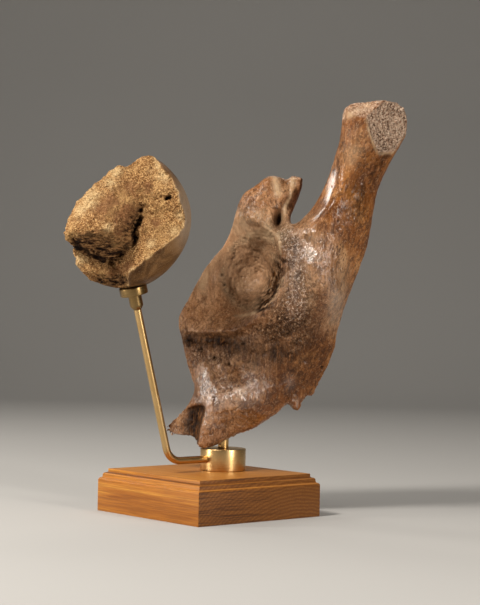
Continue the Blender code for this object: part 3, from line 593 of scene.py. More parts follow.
def rod_tree():
    """Sweep a round section along a path whose corners are rounded."""
    tree, enter = new_tree("Bent rod", Bend_Radius="Float", Rod_Radius="Float",
                           Finish="Material")
    path = add_node(tree, "GeometryNodeMeshToCurve", mesh=enter["Geometry"])
    bent = add_node(tree, "GeometryNodeFilletCurve", {"mode": "POLY"}, curve=path.outputs[0],
                    count=28, radius=enter["Bend_Radius"])
    section = add_node(tree, "GeometryNodeCurvePrimitiveCircle", resolution=40,
                       radius=enter["Rod_Radius"])
    rod = add_node(tree, "GeometryNodeCurveToMesh", curve=bent.outputs[0],
                   profile_curve=section.outputs[0], fill_caps=True)
    return close_tree(tree, rod.outputs[0], enter["Finish"])


hub_low, hub_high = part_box("brass_hub")
hub_radius = (hub_high.x - hub_low.x) / 2
arm_start = Vector((0, HUB_PLACE.y - hub_radius - GAP, ARM_HEIGHT))
arm = run_tree("bent_arm", [arm_start, ARM_CORNER, ARM_END], rod_tree(),
               Bend_Radius=ARM_BEND_RADIUS, Rod_Radius=ARM_RADIUS, Finish=DRAWN_BRASS)
ride(tidy_mesh(arm, 40), "brass_arm")

# %% Cup
CUP_TAPER = 0.0042
COLLAR_RADIUS = 0.0078
COLLAR_LENGTH = 0.0135
CUP_RADIUS = 0.0163
CUP_THICKNESS = 0.0098
collar_top = GAP + CUP_TAPER + COLLAR_LENGTH
cup_top = collar_top + CUP_THICKNESS
outline = rounded_outline([(0, GAP), (ARM_RADIUS + 0.0006, GAP), (COLLAR_RADIUS, GAP + CUP_TAPER),
                           (COLLAR_RADIUS, collar_top), (CUP_RADIUS, collar_top),
                           (CUP_RADIUS, cup_top), (0, cup_top)], 0.0008)
CUP_PLACE = Matrix.Translation(ARM_END) @ Matrix.Rotation(ARM_LEAN, 4, "X")
ride(turned_piece("turned_cup", outline, 96, CUP_BRASS_IN_PAINTED_SHADE, CUP_PLACE), "brass_cup")

# %% [markdown]
# ## Forms of fossil bone
#
# A fossil has no straight line, so it is drawn the way a relief is carved. Its outline is a
# smooth closed curve, a near and a far face are smooth sheets held at chosen points, and the two
# meet along the outline in a round edge. The drawing frame shares the stand's height: across runs
# to the viewer's right and deep runs away, in millimetres.
# Curves, sheets and noise are computed on whole arrays, which is fast even at a millimetre.
# The drawings are tables in text: commas part the points, blanks part the numbers of a point.

# %% Curves and sheets
FOSSIL_TO_WORLD = TO_VIEW @ Matrix.Scale(0.001, 4)
most = np.maximum.reduce        # the greatest of several arrays, point by point


def table(text):
    """Rows of numbers: commas part the rows, and # starts a remark."""
    plain = " ".join(line.partition("#")[0] for line in text.splitlines())
    return [tuple(map(float, row.split())) for row in plain.split(",")]


def path_table(text):
    """One row a line: two numbers, then the points of a path."""
    rows = [[float(word) for word in line.split()] for line in text.strip().splitlines()]
    return [(row[0], row[1], list(zip(row[2::2], row[3::2]))) for row in rows]


def closed_curve(points, spacing):
    """Points about every spacing along a smooth closed curve; further columns go along."""
    rows = np.array(points, float)
    ahead = np.roll(rows, -1, axis=0)
    chord = np.linalg.norm((ahead - rows)[:, :2], axis=1)
    slope = (ahead - np.roll(rows, 1, axis=0)) / (chord + np.roll(chord, 1))[:, None]
    next_slope = np.roll(slope, -1, axis=0)
    samples = []
    for i, length in enumerate(chord):
        for t in np.linspace(0, 1, max(2, math.ceil(length / spacing)), endpoint=False):
            samples.append(rows[i] * (1 + 2 * t) * (1 - t) ** 2
                           + ahead[i] * t * t * (3 - 2 * t)
                           + slope[i] * length * t * (1 - t) ** 2
                           - next_slope[i] * length * t * t * (1 - t))
    return np.array(samples)


def thin_plate(rows):
    """Smooth sheet through (across, up, depth) rows, as a function of across and up."""
    rows = np.array(rows, float)

    def kernel(squared):
        return 0.5 * squared * np.log(np.maximum(squared, 1e-9))

    count = len(rows)
    offsets = rows[:, None, :2] - rows[None, :, :2]
    flat = np.column_stack([np.ones(count), rows[:, :2]])
    system = np.zeros((count + 3, count + 3))
    system[:count, :count] = kernel((offsets ** 2).sum(axis=2))
    system[:count, count:] = flat
    system[count:, :count] = flat.T
    weights = np.linalg.solve(system, np.append(rows[:, 2], np.zeros(3)))

    def sheet(across, high):
        depth = weights[-3] + weights[-2] * across + weights[-1] * high
        for row, weight in zip(rows, weights):
            depth = depth + weight * kernel((across - row[0]) ** 2 + (high - row[1]) ** 2)
        return depth

    return sheet


def inside_loop(loop, across, high):
    """True for the points inside a closed loop."""
    hit = np.zeros(across.shape, bool)
    for start, end in zip(loop, np.roll(loop, -1, axis=0)):
        low, top = sorted((start[1], end[1]))
        if low == top:
            continue
        edge = start[0] + (high - start[1]) * (end[0] - start[0]) / (end[1] - start[1])
        hit ^= (high >= low) & (high < top) & (across < edge)
    return hit


# %% Distances
def find_nearest(centres, places):
    """Index of the centre nearest to each place, and the distance to it."""
    tree = KDTree(len(centres))
    for i, centre in enumerate(centres):
        tree.insert(centre, i)
    tree.balance()
    found = [tree.find(place) for place in places]
    return np.array([hit[1] for hit in found]), np.array([hit[2] for hit in found])


def flat_points(across, high):
    """Points in the plane of the drawing."""
    return np.column_stack([across, high, np.zeros(len(across))])


def nearest_on_loop(loop, across, high):
    """Index of the nearest loop point, and the distance to it."""
    return find_nearest(flat_points(*loop.T), flat_points(across, high))


def depth_inside(points, across, high):
    """Distance to a smooth closed loop, positive inside it."""
    loop = closed_curve(points, 1.0)[:, :2]
    distance = nearest_on_loop(loop, across, high)[1]
    return np.where(inside_loop(loop, across, high), distance, -distance)


def distance_to_path(path, across, high):
    """Distance to an open chain of straight runs."""
    best = np.full(across.shape, 1e9)
    for start, end in zip(path, path[1:]):
        run = np.array(end, float) - np.array(start, float)
        along = ((across - start[0]) * run[0] + (high - start[1]) * run[1]) / (run @ run)
        along = np.clip(along, 0, 1)
        best = np.minimum(best, np.hypot(across - start[0] - along * run[0],
                                         high - start[1] - along * run[1]))
    return best


def ease(value):
    """Smooth step from 0 to 1."""
    value = np.clip(value, 0, 1)
    return value * value * (3 - 2 * value)


def blend(first, second, share):
    """The first value at share zero, the second at share one."""
    return first + (second - first) * share


def bell(distance, width):
    """Rounded peak of height one."""
    return np.exp(-(distance / width) ** 2)


def zone(loop, soft, across, high):
    """One inside a loop, falling to zero over a soft border."""
    return ease(depth_inside(loop, across, high) / soft + 0.5)


def streak(path, width, across, high):
    """Rounded ridge of height one along a path."""
    return bell(distance_to_path(path, across, high), width)


def oval(x, y, wide, tall, across, high):
    """Distance from the middle of an oval, one on its edge."""
    return np.hypot((across - x) / wide, (high - y) / tall)


def spot(x, y, wide, tall, across, high):
    """Rounded peak of height one over an oval."""
    return bell(oval(x, y, wide, tall, across, high), 1)


# %% Noise on arrays
def lattice_noise(points, seed):
    """Smooth noise between -1 and 1 at the rows of an array."""
    base = np.floor(points).astype(np.int64)
    part = points - base
    part = part * part * (3 - 2 * part)
    total = np.zeros(len(points))
    for corner in range(8):
        pick = np.array([corner & 1, corner >> 1 & 1, corner >> 2 & 1])
        cell = base + pick
        mixed = (cell[:, 0] * 73856093) ^ (cell[:, 1] * 19349663) ^ (cell[:, 2] * 83492791)
        mixed = (mixed ^ seed * 2654435761) & 0xFFFFFFFF
        mixed = (mixed ^ mixed >> 15) * 2246822519 & 0xFFFFFFFF
        mixed = (mixed ^ mixed >> 13) * 3266489917 & 0xFFFFFFFF
        value = (mixed ^ mixed >> 16) / 0xFFFFFFFF * 2 - 1
        total += value * np.prod(np.where(pick, part, 1 - part), axis=1)
    return total


def lumps(points, size, seed, octaves=3, gain=0.5):
    """Several sizes of noise added up, largest first."""
    total = np.zeros(len(points))
    weight = 1.0
    for k in range(octaves):
        total += weight * lattice_noise(points / size + 17.3 * k, seed + k)
        size /= 2.03
        weight *= gain
    return total


def flat_lumps(across, high, size, seed, octaves=3):
    """Noise that depends on across and up alone."""
    return lumps(flat_points(across, high), size, seed, octaves)


# %% Relief and skin
def relief_mesh(name, outline, faces, spacing, default_reach):
    """Closed body between a near and a far face that meet along an outline."""
    curve = closed_curve(outline, spacing / 3)
    low = curve[:, :2].min(axis=0) - spacing
    top = curve[:, :2].max(axis=0) + spacing
    across, high = np.meshgrid(np.arange(low[0], top[0] + spacing, spacing),
                               np.arange(low[1], top[1] + spacing, spacing))
    cells = inside_loop(curve[:, :2], across[:-1, :-1] + spacing / 2,
                        high[:-1, :-1] + spacing / 2)
    touching = np.zeros(across.shape, int)
    for i, j in ((0, 0), (0, 1), (1, 0), (1, 1)):
        touching[i:i + cells.shape[0], j:j + cells.shape[1]] += cells
    used = touching > 0
    number = np.full(across.shape, -1)
    number[used] = np.arange(used.sum())
    across, high, is_inner = across[used], high[used], touching[used] == 4

    nearest, distance = nearest_on_loop(curve[:, :2], across, high)
    edge = curve[nearest]
    reach = edge[:, 3] if curve.shape[1] > 3 else np.full(len(edge), default_reach)
    share = np.clip(distance / reach, 0, 1)
    pulled = np.where(share < 1, reach * (1 - np.cos(share * math.pi / 2)), distance)
    pulled = np.where(is_inner, pulled, 0)
    scale = pulled / np.maximum(distance, 1e-6)
    across = blend(edge[:, 0], across, scale)
    high = blend(edge[:, 1], high, scale)
    near, far = faces(across, high, pulled, edge[:, 2], reach)
    near = np.where(is_inner, np.minimum(near, far - 1.0), edge[:, 2])

    far_number = np.arange(len(across))
    far_number[is_inner] = len(across) + np.arange(is_inner.sum())
    points = np.concatenate([np.column_stack([across, near, high]),
                             np.column_stack([across, far, high])[is_inner]])
    rows, columns = np.nonzero(cells)
    corners = np.stack([number[rows, columns], number[rows, columns + 1],
                        number[rows + 1, columns + 1], number[rows + 1, columns]], axis=1)
    back = far_number[corners[:, ::-1]]
    back = back[(back >= len(across)).any(axis=1)]
    mesh = bpy.data.meshes.new(name)
    mesh.from_pydata(points.tolist(), [], np.concatenate([corners, back]).tolist())
    mesh.validate()
    return mesh


# %% Skin, pores and zones
def even_skin(name, mesh, voxel):
    """Even skin of small squares over a rough body."""
    item = link(bpy.data.objects.new(name, mesh))
    remesh = item.modifiers.new("Skin", "REMESH")
    remesh.mode = "VOXEL"
    remesh.voxel_size = voxel
    remesh.use_smooth_shade = True
    item.modifiers.new("Smooth", "SMOOTH").iterations = 2
    return keep_result(item)


def read_points(mesh):
    """Vertex places and normals as arrays."""
    arrays = []
    for source, field in ((mesh.vertices, "co"), (mesh.vertex_normals, "vector")):
        values = np.empty(len(source) * 3)
        source.foreach_get(field, values)
        arrays.append(values.reshape(-1, 3))
    return arrays


def move_points(mesh, places):
    """Write vertex places back."""
    mesh.vertices.foreach_set("co", places.reshape(-1))
    mesh.update()


def dent_pores(places, centres, radii, depths):
    """Push round pores into a surface."""
    index, distance = find_nearest(centres, places)
    share = distance / radii[index]
    return np.where(share < 1, depths[index] * (1 - share ** 2), 0.0)


def pick_places(rng, places, weight, count):
    """Draw places with a chance that follows the weight."""
    return places[rng.choice(len(places), count, replace=False, p=weight / weight.sum())]


def finish_fossil(item, zones, material, node):
    """Give a carved fossil its zones and its material, and let it ride."""
    for name, values in zones.items():
        layer = item.data.attributes.new(name, "FLOAT", "POINT")
        layer.data.foreach_set("value", np.clip(values, 0, 1).astype(np.float32))
    print(node, "zones", {name: round(float(v.mean()), 3) for name, v in zones.items()})
    item.data.shade_smooth()
    item.data.materials.clear()
    item.data.materials.append(material)
    ride(item, node)


# %% [markdown]
# ## The pelvis fragment
#
# The fragment is shown upside down: the ischium bar rises on the right and ends in a flat spongy
# break, the pubis stands in the middle, and the thin ilium runs down to the post. Between them
# lies the hip socket, a smooth bowl with a crisp lower lip and a rough round pit, the fossa.
# The tables hold the real sizes, in millimetres, that the CAD solid is built from as well.

# %% Pelvis: outline
# Each row: across, up, deep, and how far in the edge is rounded.
BONE_OUTLINE = table("""
152 486 -46 5, 162 491 -46 5, 177 493 -48 5, 190 494.5 -48 5, 203 495 -47 6, 216 492 -45 6,
224 484 -43 8, 226.5 470 -41 9, 226 458 -39 10, 221 447 -37 16, 214 434 -34 22, 206 418 -31 24,
198 400 -27 24, 193 384 -22 24, 190 365 -18 24, 187.5 344 -14 24, 184 323 -10 24, 177 300 -6 24,
169 278 -2 24, 162 259 0 22, 156 238 1 18, 151 219 3 14, 148 198 4 10, 141 179 5 8, 132 160 6 7,
124 142 7 4,
# The ilium's broken lower edge, with its notch, out to the lowest tip.
118 143 8 4, 113 136 8 4, 106 125 8 4, 99 127.5 8 4, 93 133 8 4, 84 124 8 5, 69 113 8 5,
51 101 9 6, 36 96 11 6, 26 91 12 6, 12 83 9 5, -6 78 2 3, -14 80 -1 3, -18 90 2 3,
# The broken end of the ilium's thick front border.
-32 91.5 15 4, -46 92.5 24 4, -54.5 96 31 3, -53 102 32 3, -42 113 30 5, -30 125 26 8,
# Up the front border to the corner of the socket's lip.
-23.5 136 23 12, -20 147 22 14, -21.5 158 22 14, -26 170 23 13, -30 182 24 12, -34 198 27 10,
-38 213 30 8, -41.5 227 34 5,
# The socket's far rim.
-39 240 35 6, -30 258 37 6, -14 290 40 6, -3 306 40 6, 8 319 39 6, 16 331 36 8, 21 344 31 12,
26 361 26 16,
# The pubis and its broken top edge.
30 376 22 16, 36 387 20 14, 48 396 18 12, 59 405 19 7, 67 410 20 4, 77 409 21 4, 87 406 23 4,
93 410 24 4, 99 410 25 4, 107 407 26 4, 106 396 27 8, 102 383 26 12, 97 371 22 12, 93 360 12 10,
# The notch between pubis and bar, and up the bar's front edge.
93 350.5 -2 10, 100 351.5 -11 12, 109 359 -17 15, 117 368.5 -22 18, 124 380 -26 20,
130 392 -30 20, 135 404 -34 20, 139 417 -38 18, 143 431 -42 15, 147 446 -45 12, 149 460 -46 9,
150 475 -46 6""")

# %% Pelvis: faces
# Each row: across, up, depth of the near face, depth of the far face.
BONE_FACES = table("""
# bar
157 475 -68 -20, 180 477 -76 -18, 214 469 -64 -16, 153 435 -68 -12, 178 431 -68 -6,
206 431 -54 -8, 146 395 -60 6, 166 391 -56 10, 190 390 -43 4, 131 366 -61 18, 152 357 -59 24,
166 352 -52 20, 185 349 -38 10,
# shoulder between the bar and the socket, the part nearest the front
108 344 -48 34, 94 334 -40 44, 116 323 -56 40, 104 306 -58 50, 141 318 -56 32, 168 314 -30 14,
124 294 -64 44, 149 271 -46 28, 165 286 -20 10, 98 272 -50 56,
# body below the socket's lip
78 238 -36 56, 105 238 -42 46, 131 238 -34 30, 150 236 -14 10, 46 212 -15 56, 16 206 -1 56,
-14 208 12 54, -28 201 18 46, -2 192 6 50, 29 190 -1 52, 61 196 -12 48, 94 205 -25 40,
127 206 -22 22,
# ilium
-18 166 8 38, 2 164 -5 42, 29 167 -9 42, 62 167 -17 36, 101 173 -16 24, 130 178 -1 14,
0 134 -16 36, 28 136 -25 34, 56 133 -21 24, 40 118 -15 26, 96 141 0 15, 114 151 4 14,
107 129 3 13, -5 89 -12 20, 18 99 -8 33, 49 106 -1 22, -17 134 -4 38, -35 113 6 42, -51 99 20 42,
-21 97 -4 36,
# level of the socket's rim, and the wall behind the socket
-37 228 26 50, -11 218 8 58, 10 219 -4 62, 28 221 -13 64, 54 236 -26 66, 77 262 -33 64,
86 292 -34 62, 84 308 -32 60, 74 335 -24 54, 46 352 -7 50, -14 290 34 58, 8 318 32 58,
21 344 22 52, 30 285 -2 70,
# pubis
33 378 6 38, 43 363 -2 46, 62 356 -8 48, 57 385 3 36, 84 384 4 38, 73 402 9 33, 98 401 14 36,
92 372 8 38""")

# %% Pelvis: socket and breaks
# Near rim of the socket, then well outside the bone to close the loop.
SOCKET_LOOP = table("""
-46 228, -33 220.5, -11 217.5, 10 219, 28 221, 41 227, 54 236, 67 247, 77 261, 84 275, 87 291,
85 307, 81 322, 74 337, 61 347, 46 352, 33 357, 20 362, 0 350, -30 310, -60 250""")
# Inside of the socket: its rim, then its floor (across, up, depth).
SOCKET_FLOOR = table("""
-41 226 31, -33 221 24, -11 218 8, 10 219 -4, 28 221 -13, 41 227 -20, 54 236 -26, 67 247 -31,
77 261 -33, 84 275 -34, 87 291 -34, 85 307 -32, 81 322 -28, 74 337 -21, 61 347 -12, 46 352 -4,
33 357 8, 20 362 22, -30 258 34, -14 290 37, 8 318 36, 21 344 28, -16 239 27, 10 237 19, 34 239 8,
52 250 0, 64 262 0, 0 262 37, 27 262 34, 12 290 42, 34 284 41, 50 286 40, 62 286 34, 74 288 6,
73 305 4, 60 306 28, 42 314 31, 26 316 34, 66 326 6, 50 334 10, 36 340 16, 71 273 6""")
FOSSA_CENTRE = (49, 288)
FOSSA_RADII = (31, 38)
FOSSA_DEPTH = 7
FOSSA_WALL = (0.2, 0.7)
LIP_HEIGHT = 2.0
LIP_WIDTH = 3.2
LIP_SOFTNESS = (10, 2.2)         # width of the rim's edge where it fades, and at the crisp lip
LIP_END = (34, 66)               # across: where the crisp lip starts to fade, and where it ends
UNDERCUT_DEPTH = 8.5
UNDERCUT_OFFSET = 8.5
UNDERCUT_WIDTH = 7.5
HOLLOW_CENTRE = (79, 354)
HOLLOW_RADII = (5.5, 10)
HOLLOW_DEPTH = 26
# Planes of the breaks: across, up, depth there, slopes of the depth going across and up.
BAR_BREAK = (176, 464, -75.5, 0.6, -0.08)
BAR_FACET = (168, 477, -72, -0.2, 0.8)
ILIUM_BREAK = (0, 0, -48, -1.04, 0.34)
BAR_BREAK_LOOP = table("""
170 504, 173 488, 176 475, 180 460, 185 446, 192 434, 206 435, 222 440, 238 450, 238 504""")
ILIUM_BREAK_LOOP = table("-66 90, -44 112, -27 125.5, -7 129, -9 111, -12 94, -17 80, -44 80")

# %% Pelvis: its two faces
# Fine ridges (positive) and grooves (negative): height, half width, path.
BONE_STROKES = path_table("""
2 2.2  95 405  94.5 392  93 383  88 374  84.5 365  83 357
-1.4 1.6  100 394  96 380  91 370
2.4 2.6  78.4 341  77 335  78.6 325  80 314
-0.8 2  70 402  67 390  66 376  63 366
-0.7 1.8  82 404  80 392  78 380
-0.8 2.2  56 400  50 384  44 368
1.8 4  104 250  99 266  97 282  99 296
-1.5 2.5  92 252  90 268  92 284  94 298
-3.2 4.5  190 434  179 416  169 400  161 386
1.5 5  178 434  168 416  158 400  150 386
-1.6 5  128 205  118 188  104 172  88 160
3 3.5  114 181  103 168  92 155  88 148  91 139  102 128
-2 3.5  121 175  111 160  101 146
2.6 7  -8 176  -2 162  2 148  1 130  -4 104
-1.8 6  12 172  15 155  12 138
2.4 8  14 142  28 146  44 154  56 160
-1 1.4  62 172  68 160  69 150  65 138  56 128
-0.9 1.6  40 140  60 128  74 122
-0.9 1.6  26 124  44 114  58 108
-1 1.6  78 168  84 158  84 146""")

# Broad ridges and hollows of the back.
BACK_STROKES = path_table("""
5 16  183 470  160 405  132 350  112 300  104 250  92 200  70 150
-4 14  60 330  70 280  66 230  50 180
3 9  76 400  60 370  36 340  6 300  -22 250""")


def plane_depth(plane, across, high):
    """Depth of a break's plane."""
    start_across, start_high, depth, slope_across, slope_high = plane
    return depth + slope_across * (across - start_across) + slope_high * (high - start_high)


def bar_facet(across, high):
    """One on the upper left facet of the bar's end, zero on the spongy break."""
    gap = plane_depth(BAR_FACET, across, high) - plane_depth(BAR_BREAK, across, high)
    return ease(gap / 3 + 0.5)


def in_bar_break(across, high):
    """One inside the border of the bar's spongy break."""
    return zone(BAR_BREAK_LOOP, 1.8, across + 0.7 * flat_lumps(across, high, 7, 73), high)


def lip_share(across, high):
    """One along the crisp lower lip of the socket, falling to zero where the lip fades."""
    return ease((LIP_END[1] - across) / (LIP_END[1] - LIP_END[0])) * ease((262 - high) / 20)


def rim_lift(distance, reach):
    """Rise of a quarter round: zero on the outline, one at the reach."""
    return np.sqrt(1 - (1 - np.clip(distance / reach, 0, 1)) ** 2)


def bone_faces(across, high, distance, edge_depth, reach):
    """Near and far face of the pelvis fragment."""
    place = across, high
    near = thin_plate([row[:3] for row in BONE_FACES])(*place) + 1.3 * flat_lumps(*place, 24, 11)
    far = thin_plate([(row[0], row[1], row[3]) for row in BONE_FACES])(*place)
    far = far + 2.0 * flat_lumps(*place, 26, 13)
    for height, width, path in BACK_STROKES:
        far = far + height * streak(path, width, *place)
    for height, width, path in BONE_STROKES:
        near = near - height * streak(path, width, *place)
    lift = rim_lift(distance, reach)
    near = blend(edge_depth, near, lift)
    far = blend(edge_depth, far, lift)
    broken = np.maximum(near, plane_depth(BAR_BREAK, *place))
    near = blend(near, broken, in_bar_break(*place))
    near = np.maximum(near, plane_depth(BAR_FACET, *place))

    # The socket: its floor with the fossa, the lip that stands up, and the groove below it.
    fossa_across = (across - FOSSA_CENTRE[0]) / FOSSA_RADII[0]
    fossa_up = (high - FOSSA_CENTRE[1]) / FOSSA_RADII[1]
    fossa = np.hypot(fossa_across, fossa_up) + 0.05 * flat_lumps(*place, 9, 23)
    gentle = ease(0.5 - (fossa_across - fossa_up) / (2.4 * np.maximum(fossa, 0.1)))
    wall = blend(*FOSSA_WALL, gentle)
    sunk = FOSSA_DEPTH * (0.5 + 0.3 * np.clip(fossa_across - fossa_up, -1, 1))
    floor = thin_plate(SOCKET_FLOOR)(*place)
    floor = floor + ease((1 - fossa) / wall + 0.5) * (sunk + 0.8 * flat_lumps(*place, 7, 31))
    low_rim = lip_share(*place)
    softness = blend(*LIP_SOFTNESS, low_rim)
    wavy_rim = depth_inside(SOCKET_LOOP, *place) + 0.8 * flat_lumps(*place, 10, 37)
    near = blend(near, floor, ease(wavy_rim / softness + 0.5))
    near = near - LIP_HEIGHT * low_rim * bell(wavy_rim, LIP_WIDTH)
    undercut = bell(wavy_rim + UNDERCUT_OFFSET, UNDERCUT_WIDTH)
    near = near + UNDERCUT_DEPTH * undercut * low_rim * np.minimum(1, distance / 10)

    near = near + HOLLOW_DEPTH * spot(*HOLLOW_CENTRE, *HOLLOW_RADII, *place)
    in_break = depth_inside(ILIUM_BREAK_LOOP, *place)
    plane = plane_depth(ILIUM_BREAK, *place) + 3.0 * flat_lumps(*place, 10, 41)
    return blend(near, np.maximum(plane, near + 2), ease(in_break / 2.5 + 0.5)), far


# %% Pelvis: skin
BONE_SPACING = 1.5
BONE_VOXEL = 1.6
bone = even_skin("pelvis_fragment", relief_mesh("pelvis_form", BONE_OUTLINE, bone_faces,
                                                BONE_SPACING, 20), BONE_VOXEL)
print("pelvis skin", len(bone.data.polygons), "faces")

# %% [markdown]
# ### What the bone's surface is made of
#
# Living bone is dense outside and spongy inside. On this fragment the smooth skin is varnished
# chestnut, the zone round the socket is peppered with vessel holes, and the breaks show bare
# sponge. Each zone is a number on every vertex, worked out from the distance to the rim or to a
# break, and both the relief and the material read it.

# %% Pelvis: where each kind of surface lies, and where shade and light are painted
# Crumbly, pored zone beside and below the socket.
PORED_LOOP = table("""
48 352, 70 352, 90 346, 101 334, 105 312, 109 285, 116 250, 118 220, 106 196, 78 188, 40 184,
4 182, -26 186, -44 205, -40 216, 10 214, 40 222, 64 240, 80 262, 88 285, 86 310, 78 326, 62 338,
46 342""")
GOLDEN_LOOP = table("""
90 136, 88 148, 92 157, 112 179, 130 194, 150 190, 134 150, 122 138, 104 124""")
RUSSET_LOOP = table("44 98, 58 140, 78 172, 112 208, 152 212, 134 150, 116 122, 84 112")
# Painted shade along the crease at the lower right of the fossa.
CREASE_SHADE_PATH = table("80 290, 77 279, 71 269, 64 261, 57 256")
DISC_CENTRE = (43, 290)
DISC_RADII = (25, 31)
# Dark streaks: painted shade along the bar's groove, the notch by the ilium's break and the
# socket's right inner wall, and darker fissures right of the lip: half width, strength, path.
SHADE_AND_FISSURE_PATHS = path_table("""
9 0.5  198 428  188 413  178 398  171 382  164 364
1.8 0.55  36 203  56 203  76 210  92 219
1.6 0.5  46 196  66 199  84 206
3.2 0.55  56 194  84 198  106 208
2.6 0.5  44 184  76 184  100 194
2.2 0.45  26 179  56 174  86 181
2.2 0.8  -20 126  -12 118  -12 104  -16 92
11 0.85  81 302  74 276  60 248
6 0.35  146 452  147 432  142 412""")
# Areas darkened with painted shade, most of them below the lip and to its right: across, up,
# their half width and height, strength.
SHADES = table("""
2 207 42 10 1, -22 206 20 8 0.9, 34 200 30 11 0.7, 118 200 32 34 0.45, 92 272 20 38 0.3,
112 165 22 20 0.35, 92 152 16 10 0.4, 78 190 40 30 0.72, 44 160 26 12 0.3""")
# Pale streaks, most of them painted light on crests, edges and dim areas that face the lamps, a
# few pale in themselves: width, share, path.
LIGHT_AND_PALE_PATHS = path_table("""
17 0.6  36 352  54 352  70 342
3.4 1  95 405  93 383  88 374  84.5 365  83 357
1.5 1  78.4 341  77 335  78.6 325  80 314
5 1  74 408  76 388
2 1  84 284  74 262  62 248  44 240  28 238
5 1  157 476  166 481  178 486
9 0.35  153 296  150 264  142 234
9 1  40 331  56 339  72 334
7 0.55  6 314  -7 293  -14 274
10 0.22  114 332  118 300  112 258
10 0.35  168 452  160 424""")
# Where the varnish still shines: across, up, half width and height, then a streak on the bar.
SHINE = table("""
114 320 24 25, -2 160 14 16, 0 128 12 30, 26 140 28 18, 46 156 16 14, 147 263 12 30, 94 160 7 10,
40 112 26 12, 96 285 9 40""")
SHINE_STREAK = table("143 406, 140 394, 136 383, 130 371, 124 362, 116 355, 104 350")
DULL_STREAK = table("143 384, 136 370, 127 357, 117 346")
# Painted glints: white flecks beside the socket stand in for sparkles of the varnish.
PAINTED_GLINT_PATH = table("86 338, 94 318, 100 292, 103 268, 101 246")
# Single deep pits: across, up, radius, depth.
BONE_PITS = table("""
-28 202 1.8 2.5, -13 199 2 3, 3 188 2.2 3.5, 21 181 2 3, 37 206 2.4 3.5, 11 288 1.6 1.4,
14 276 1.5 1.4, 134 178 2.2 3, 76 300 1.6 1.6, 147 352 1.6 1.6, 1 148 1.3 1.6""")


# %% Pelvis: the zones
def disc_share(across, high):
    """Distance from the middle of the smooth disc on the socket's floor, 1 on its edge."""
    return oval(*DISC_CENTRE, *DISC_RADII, across, high) + 0.05 * flat_lumps(across, high, 7, 83)


